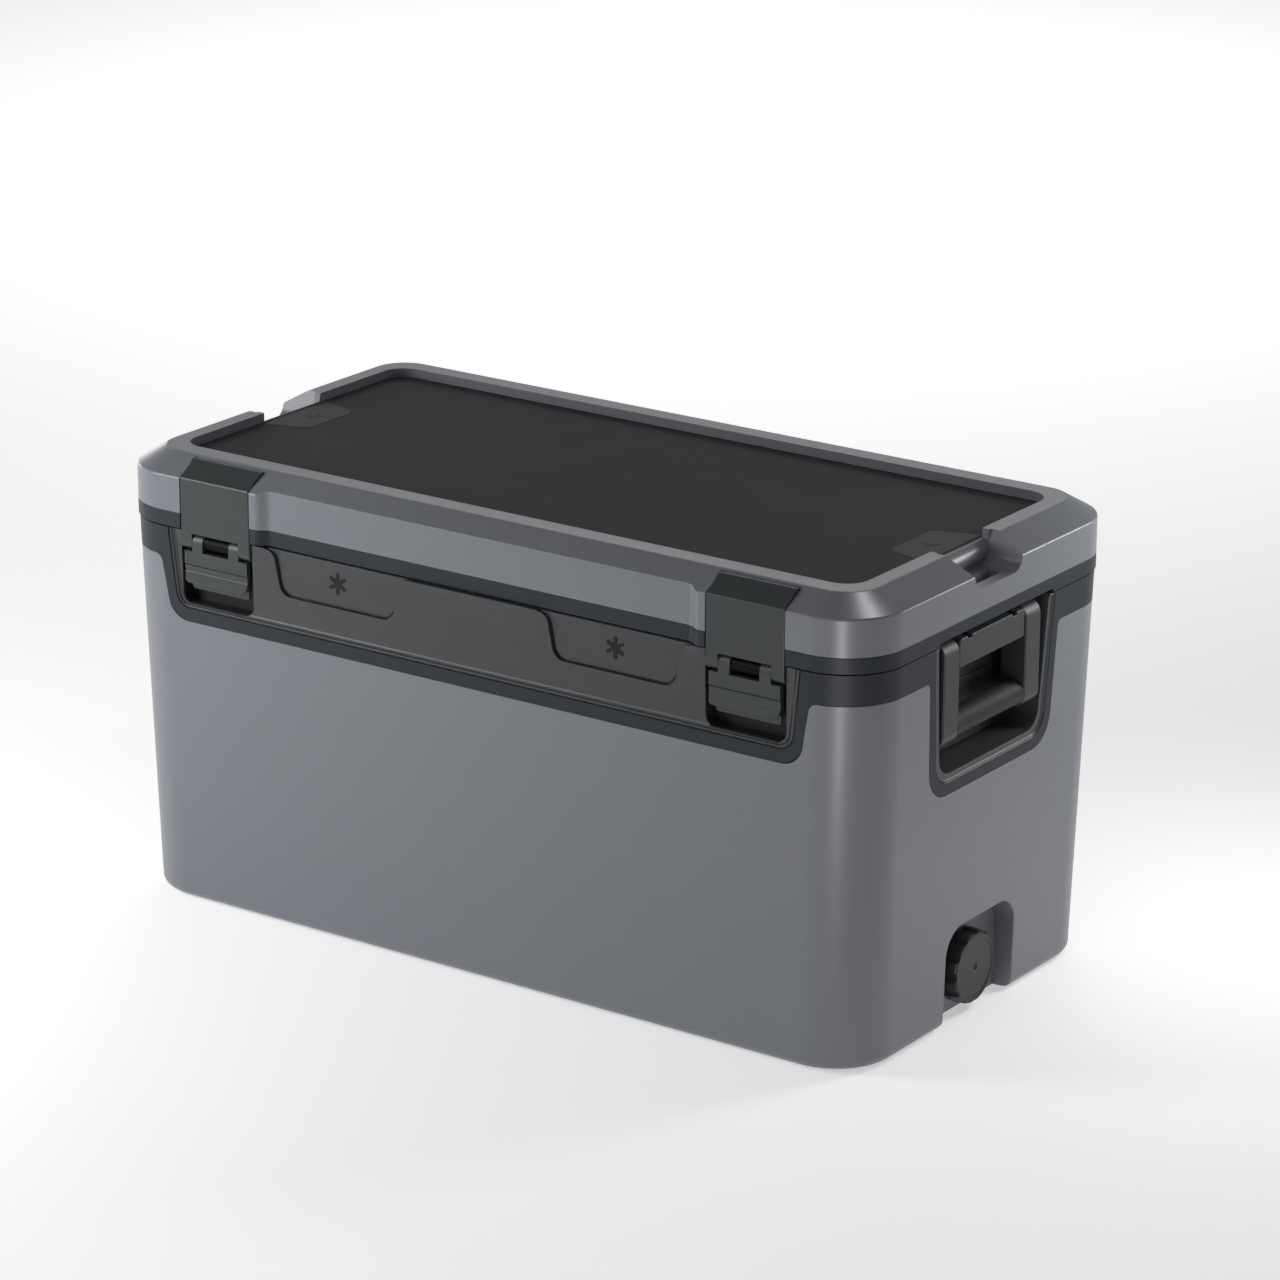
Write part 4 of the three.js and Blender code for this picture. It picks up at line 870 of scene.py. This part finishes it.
for name, side in SIDES:
    outline = [(312, -34, 9), (354, -46, 3), (354, 46, 3), (312, 34, 9)]
    tab = round_edges(prism("top", outline, MAT_HIGH.z - 1, MAT_HIGH.z + 0.4), 0.3, 2)
    finish(f"mat_tab_{name}", on_side(tab, side), "lid", MAT_TAB)
    mark = snow_mark(15, MAT_HIGH.z + 0.3, MAT_HIGH.z + 0.7)
    finish(f"mat_mark_{name}", moved(mark, side * 333), "lid", MARK)

# ---------------------------------------------------------------- latches
PIVOT = (-197.9, 347.5)
KNUCKLE = 7.8
EAR_INNER = 26.5


def make_strap():
    """Strap over the lid's edge, with its pin's eye above and two ears of the hinge below."""
    crease = LID_CREASE + 0.6
    profile = [
        (STRAP_BACK, PIVOT[1]), (STRAP_BACK, crease - 4), (STRAP_PIN[0] + 2.4, STRAP_PIN[1] - 3.7),
        (STRAP_PIN[0] - 2.4, STRAP_PIN[1] + 3.7), (-HALF_DEPTH, crease), (-HALF_DEPTH, PIVOT[1]),
    ]
    bm = weld(
        round_edges(prism("end", profile, -STRAP_HALF, STRAP_HALF), 1.3, 4),
        rod("X", 4.4, -STRAP_HALF, STRAP_HALF, STRAP_PIN, 32),
        rod("X", KNUCKLE, -STRAP_HALF, STRAP_HALF, PIVOT, 48),
    )
    return cut(bm, block((-EAR_INNER, -HALF_DEPTH - 1, 300), (EAR_INNER, 0, PIVOT[1] + KNUCKLE + 0.5)))


def make_lever():
    """Lever plate with a finger groove, a lip, and two ears that hold the roller."""
    front = -HALF_DEPTH
    profile = [
        (-199.9, 309), (front + 1.6, 309), (front + 0.9, 311), (front + 0.9, 319.5),
        (front + 1.5, 320.2), (front + 0.7, 325.6), (front + 1.7, 326.4), (front + 0.3, 327.2),
        (front + 0.3, 339.3), (-199.9, 339.3),
    ]
    outline = [(-35.5, 345), (-35.5, 309, 4), (35.5, 309, 11), (35.5, 345)]
    plate = combine(prism("end", profile, -36, 36), [prism("front", outline, -212, -195)], "INTERSECT")
    round_edges(plate, 0.7, 2, lambda p: p.y < -200.5, math.radians(60))
    ears = []
    for _, side in SIDES:
        inner, outer = 14.9, EAR_INNER - GAP
        low, high = (inner, outer) if side > 0 else (-outer, -inner)
        ears.append(rod("X", KNUCKLE - 0.2, low, high, PIVOT, 48))
        ears.append(block((low, front + 0.2, 338), (high, PIVOT[0], PIVOT[1])))
    lip = prism("front", [(-31, 312), (-31, 303.6, 3), (33.5, 303.6, 3), (33.5, 312)], -200.0, -197.4)
    return weld(plate, *ears, lip)


for name, side in SIDES:
    finish(f"strap_{name}", moved(make_strap(), side * LATCH_X), f"latch_strap_{name}",
           LATCH, (f"latch_strap_{name}",))
    finish(f"lever_{name}", moved(make_lever(), side * LATCH_X), f"latch_lever_{name}",
           LATCH, (f"latch_lever_{name}",))
    barrel = round_edges(rod("X", 6.7, -14.6, 14.6, PIVOT, 48), 0.7, 3)
    finish(f"roller_{name}", moved(barrel, side * LATCH_X), f"latch_lever_{name}",
           ROLLER, (f"latch_roller_{name}",))

# ---------------------------------------------------------------- handles
FRAME_LOW, FRAME_HIGH = box_mm("handle_frame_right")
GRIP_LOW, GRIP_HIGH = box_mm("handle_grip_right")
ARM_DEPTH = FRAME_HIGH.x - FRAME_LOW.x
HANDLE_X = (FRAME_LOW.x + FRAME_HIGH.x) / 2
HANDLE_Z = FRAME_HIGH.z - ARM_DEPTH / 2
GRIP_Z = (GRIP_LOW.z + GRIP_HIGH.z) / 2
BRACKET_LOW, BRACKET_HIGH = box_mm("handle_bracket_right")
POCKET_LINING = 7.5


def at_pocket_mouth(point):
    return point.x > 393.5 and abs(point.y) < 91.5 and 237 < point.z < 356


def make_pocket():
    """Handle pocket with a stepped border, a ledge, a keyhole and screw holes."""
    outside = combine(
        prism("end", bucket(POCKET_TOP_HALF - GAP, POCKET_BOTTOM_HALF - GAP, BODY_TOP + BEYOND,
                            POCKET_BOTTOM + GAP, POCKET_CORNER), POCKET_BACK - 3, HALF_LENGTH + 9),
        [body_block(200, BODY_TOP, GAP)], "INTERSECT")
    front = [f for f in outside.faces if f.normal.x > 0.98 and f.calc_area() > 5000]
    for thickness, rise in ((0.8, -1.0), (0.6, 0.6), (0.6, -0.2), (0.7, -0.9)):
        bmesh.ops.inset_region(outside, faces=front, thickness=thickness, depth=rise,
                               use_even_offset=True)
    inside = prism("end", bucket(POCKET_TOP_HALF - POCKET_LINING, POCKET_BOTTOM_HALF - POCKET_LINING,
                                 BODY_TOP + BEYOND, POCKET_BOTTOM + POCKET_LINING, 17),
                   POCKET_BACK, HALF_LENGTH + 9, 10)
    bm = cut(outside, inside)
    round_edges(bm, 4.0, 5, at_pocket_mouth)
    ledge = block((POCKET_BACK - 1, -84, 240), (POCKET_BACK + 1.6, 84, 297))
    bm = weld(bm, round_edges(ledge, 0.8, 2))
    keyhole = [rod("X", 3.2, POCKET_BACK - 2, POCKET_BACK + 5, (61, 305), 24),
               block((POCKET_BACK - 2, 59.6, 299), (POCKET_BACK + 5, 62.4, 305))]
    screws = [rod("X", 1.9, POCKET_BACK - 8, POCKET_BACK + 1, (hand * 30, 334), 16) for hand in (-1, 1)]
    return cut(bm, *keyhole, *screws)


def make_bracket():
    """Block that the handle's pin runs through, with two notches in its top."""
    half, bottom, top = 52.6, 328.3, 353.6
    plate = [(-half, bottom, 3), (half, bottom, 3), (half, top, 3), (-half, top, 3)]
    bm = prism("end", plate, BRACKET_LOW.x, BRACKET_HIGH.x + 1.4)
    notches = [prism("end", [(h * 36 - 3, 360), (h * 36 - 3, 351.0, 1), (h * 36 + 3, 351.0, 1),
                             (h * 36 + 3, 360)], 384, 400) for h in (-1, 1)]
    bm = cut(bm, *notches, rod("Y", 3.4, -60, 60, (HANDLE_X, HANDLE_Z), 24))
    return round_edges(bm, 1.5, 4)


def make_frame_arms():
    """Two flat bars with round ends, joined by a core that the grip goes over."""
    radius = ARM_DEPTH / 2
    top, bottom = HANDLE_Z + radius, FRAME_LOW.z
    corner = radius - 0.05
    outline = [(HANDLE_X - radius, bottom, corner), (HANDLE_X + radius, bottom, corner),
               (HANDLE_X + radius, top, corner), (HANDLE_X - radius, top, corner)]
    arms = []
    for hand in (-1, 1):
        y0, y1 = sorted((hand * 54, hand * 78))
        arms.append(round_edges(prism("front", outline, y0, y1, 10), 4.2, 5))
    core = rod("Y", 6.0, -55, 55, (HANDLE_X, GRIP_Z), 24)
    return weld(arms[0], arms[1], core)


def make_grip():
    """Round grip that swells where it meets the arms."""
    half = GRIP_HIGH.y
    profile = [(6.3, -half), (12.4, -half), (12.3, -half + 3), (11.9, -half + 8), (11.8, -half + 16),
               (11.8, half - 16), (11.9, half - 8), (12.3, half - 3), (12.4, half), (6.3, half)]
    points = [(HANDLE_X + r, y, GRIP_Z) for r, y in profile]
    return spun(points, (HANDLE_X, 0, GRIP_Z), (0, 1, 0), 48)


for name, side in SIDES:
    finish(f"pocket_{name}", on_side(make_pocket(), side), "body", POCKET,
           (f"handle_pocket_{name}",))
    finish(f"bracket_{name}", on_side(make_bracket(), side), "body", HANDLE,
           (f"handle_bracket_{name}",))
    finish(f"carry_frame_{name}", on_side(make_frame_arms(), side), f"handle_{name}",
           HANDLE, (f"handle_frame_{name}",))
    finish(f"carry_grip_{name}", on_side(make_grip(), side), f"handle_{name}", GRIP,
           (f"handle_grip_{name}",))

# ---------------------------------------------------------------- drain cap
CAP_FACE = box_mm("drain_cap")[1].x
FLUTES = 12
FLUTE_REACH = 36.0


def make_cap():
    """Hollow cap with twelve flutes round its rim."""
    profile = [(0, 20.2), (0, 33), (2, 33.4), (12.6, 32.6), (14.2, 31.8), (15, 30.4), (15, 28.6),
               (14.2, 27.6), (14.2, 4.2), (13.2, 3.4), (13.2, 0.4), (10, 0.4), (10, 10.4), (4, 10.4),
               (4, 20.2)]
    points = [(CAP_FACE - 15 + x, 0, DRAIN_Z + r) for x, r in profile]
    bm = spun(points, (0, 0, DRAIN_Z), (1, 0, 0), 72)
    flutes = []
    for step in range(FLUTES):
        angle = math.tau * step / FLUTES
        middle = (math.cos(angle) * FLUTE_REACH, DRAIN_Z + math.sin(angle) * FLUTE_REACH)
        flutes.append(rod("X", 5.6, CAP_FACE - 20, CAP_FACE + 5, middle, 20))
    return round_edges(cut(bm, *flutes), 0.7, 2, lambda p: math.hypot(p.y, p.z - DRAIN_Z) > 30)


finish("cap", make_cap(), "drain_cap", CAP, ("drain_cap",))

# ---------------------------------------------------------------- inside
LINER_LOW, LINER_HIGH = box_mm("inner_liner")
LINER_DRAFT = 6.0
INNER_WALL = 3.0


def tub(inward, low, high):
    """A drafted block that follows the liner's outside, `inward` inside it."""
    bm = rounded_block(LINER_HALF_X - inward, LINER_HALF_Y - inward, LINER_CORNER - inward, low, high, 10)
    return step_in(bm, lambda z: LINER_DRAFT * (LINER_HIGH.z - z) / (LINER_HIGH.z - LINER_LOW.z))


def make_liner():
    """White tub with a flange over the body's top and a bore for the drain."""
    outside = tub(0.0, LINER_LOW.z, LINER_HIGH.z)
    inside = tub(INNER_WALL, LINER_LOW.z + INNER_WALL, LINER_HIGH.z + 1)
    round_edges(inside, 9.0, 5, lambda p: p.z < LINER_LOW.z + INNER_WALL + 1)
    flange = rounded_block(LINER_HIGH.x, LINER_HIGH.y, 45, SHELL_TOP + GAP, LINER_HIGH.z, 10)
    bore = rod("X", DRAIN_BORE, 300, 360, (0, DRAIN_Z), 32)
    bm = cut(weld(outside, flange), inside, bore)
    return round_edges(bm, 0.6, 2, lambda p: p.z > SHELL_TOP)


finish("liner", make_liner(), "body", LINER, ("inner_liner",))

LID_PAN_LOW, LID_PAN_HIGH = box_mm("lid_inner")
PAN_INSET = LID_WALL + GAP
PLUG_HALF_X = 338
PLUG_HALF_Y = 152
PLUG_CORNER = 30


def make_lid_inside():
    """Pan under the lid, with a hollow plug that reaches down into the liner."""
    pan = rounded_block(HALF_LENGTH - PAN_INSET, HALF_DEPTH - PAN_INSET, CORNER - PAN_INSET, 359.5,
                        LID_PAN_HIGH.z, 10)
    plug = rounded_block(PLUG_HALF_X, PLUG_HALF_Y, PLUG_CORNER, LID_PAN_LOW.z, LID_PAN_HIGH.z, 10)
    round_edges(plug, 6.0, 4, lambda p: p.z < LID_PAN_LOW.z + 1)
    inside = rounded_block(PLUG_HALF_X - INNER_WALL, PLUG_HALF_Y - INNER_WALL,
                           PLUG_CORNER - INNER_WALL, LID_PAN_LOW.z + INNER_WALL,
                           LID_PAN_HIGH.z + 1, 10)
    return cut(weld(pan, plug), inside)


finish("lid_inside", make_lid_inside(), "lid", LINER, ("lid_inner",))

# ---------------------------------------------------------------- finishes of the frame's own pieces
KEPT = {
    "body_foam": FOAM, "lid_foam": FOAM, "lid_gasket": SEAL, "drain_fitting": CAP, "drain_nut": CAP,
    "drain_washer": SEAL, "foot_front_left": FOOT, "foot_front_right": FOOT, "foot_rear_left": FOOT,
    "foot_rear_right": FOOT,
}
for name, _ in SIDES:
    for part in ("handle_screw_front", "handle_screw_rear", "handle_pin", "latch_keeper", "latch_pin",
                 "strap_pin", "body_hinge", "lid_hinge", "hinge_pin"):
        KEPT[f"{part}_{name}"] = STEEL
for node, material in KEPT.items():
    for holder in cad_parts[node].material_slots:
        holder.material = material

# ---------------------------------------------------------------- floor, light
def make_floor():
    bm = bmesh.new()
    bmesh.ops.create_grid(bm, x_segments=1, y_segments=1, size=15.0)
    mesh = bpy.data.meshes.new("floor")
    bm.to_mesh(mesh)
    bm.free()
    material = bpy.data.materials.new("floor_paint")
    material.use_nodes = True
    shader = material.node_tree.nodes["Principled BSDF"]
    shader.inputs["Base Color"].default_value = (0.9, 0.9, 0.9, 1)
    shader.inputs["Roughness"].default_value = 0.9
    shader.inputs["Specular IOR Level"].default_value = 0.0
    shader.inputs["Emission Color"].default_value = (1, 1, 1, 1)
    shader.inputs["Emission Strength"].default_value = 0.42
    mesh.materials.append(material)
    floor = bpy.data.objects.new("floor", mesh)
    bpy.context.scene.collection.objects.link(floor)


def area_light(name, at, target, size, power, size_y=None, only_shine=False):
    """A soft box that the camera doesn't see. One that is only_shine adds no diffuse light."""
    data = bpy.data.lights.new(name, "AREA")
    data.energy = power
    data.shape = "RECTANGLE"
    data.size = size
    data.size_y = size_y or size
    light = bpy.data.objects.new(name, data)
    bpy.context.scene.collection.objects.link(light)
    light.location = at
    light.rotation_euler = (Vector(target) - Vector(at)).to_track_quat("-Z", "Y").to_euler()
    light.visible_camera = False
    light.visible_diffuse = not only_shine


def make_light():
    world = bpy.data.worlds.new("studio")
    bpy.context.scene.world = world
    world.use_nodes = True
    sky = world.node_tree.nodes["Background"]
    sky.inputs["Color"].default_value = (1, 1, 1, 1)
    sky.inputs["Strength"].default_value = 0.18
    area_light("key_left", (-1.02, -0.95, 0.68), (-0.28, -0.1, 0.24), 0.6, 9.5)
    area_light("rear_right", (0.64, 0.42, 0.5), (0.4, 0.19, 0.32), 0.2, 1.6)
    area_light("floor_back", (-1.6, 2.6, 1.8), (-1.6, 2.6, 0), 2.6, 34)
    area_light("floor_front", (0.7, -2.4, 1.6), (0.7, -2.4, 0), 1.6, 11)
    area_light("corner_strip", (0.63, -0.70, 0.15), (0.38, -0.19, 0.15), 0.05, 1.5, 0.28, True)
    area_light("crease_light", (-1.0, -1.3, 1.25), (0.1, -0.2, 0.4), 0.3, 7.0, 0.3, True)
    area_light("corner_glint", (0.45, 0.46, 1.75), (0.38, -0.15, 0.41), 0.18, 7.0, 0.18, True)
    area_light("left_rim", (-2.2, 0.6, 0.45), (0, 0, 0.3), 1.6, 16, 0.9, True)
    bpy.context.scene.view_settings.view_transform = "Standard"


make_floor()
make_light()
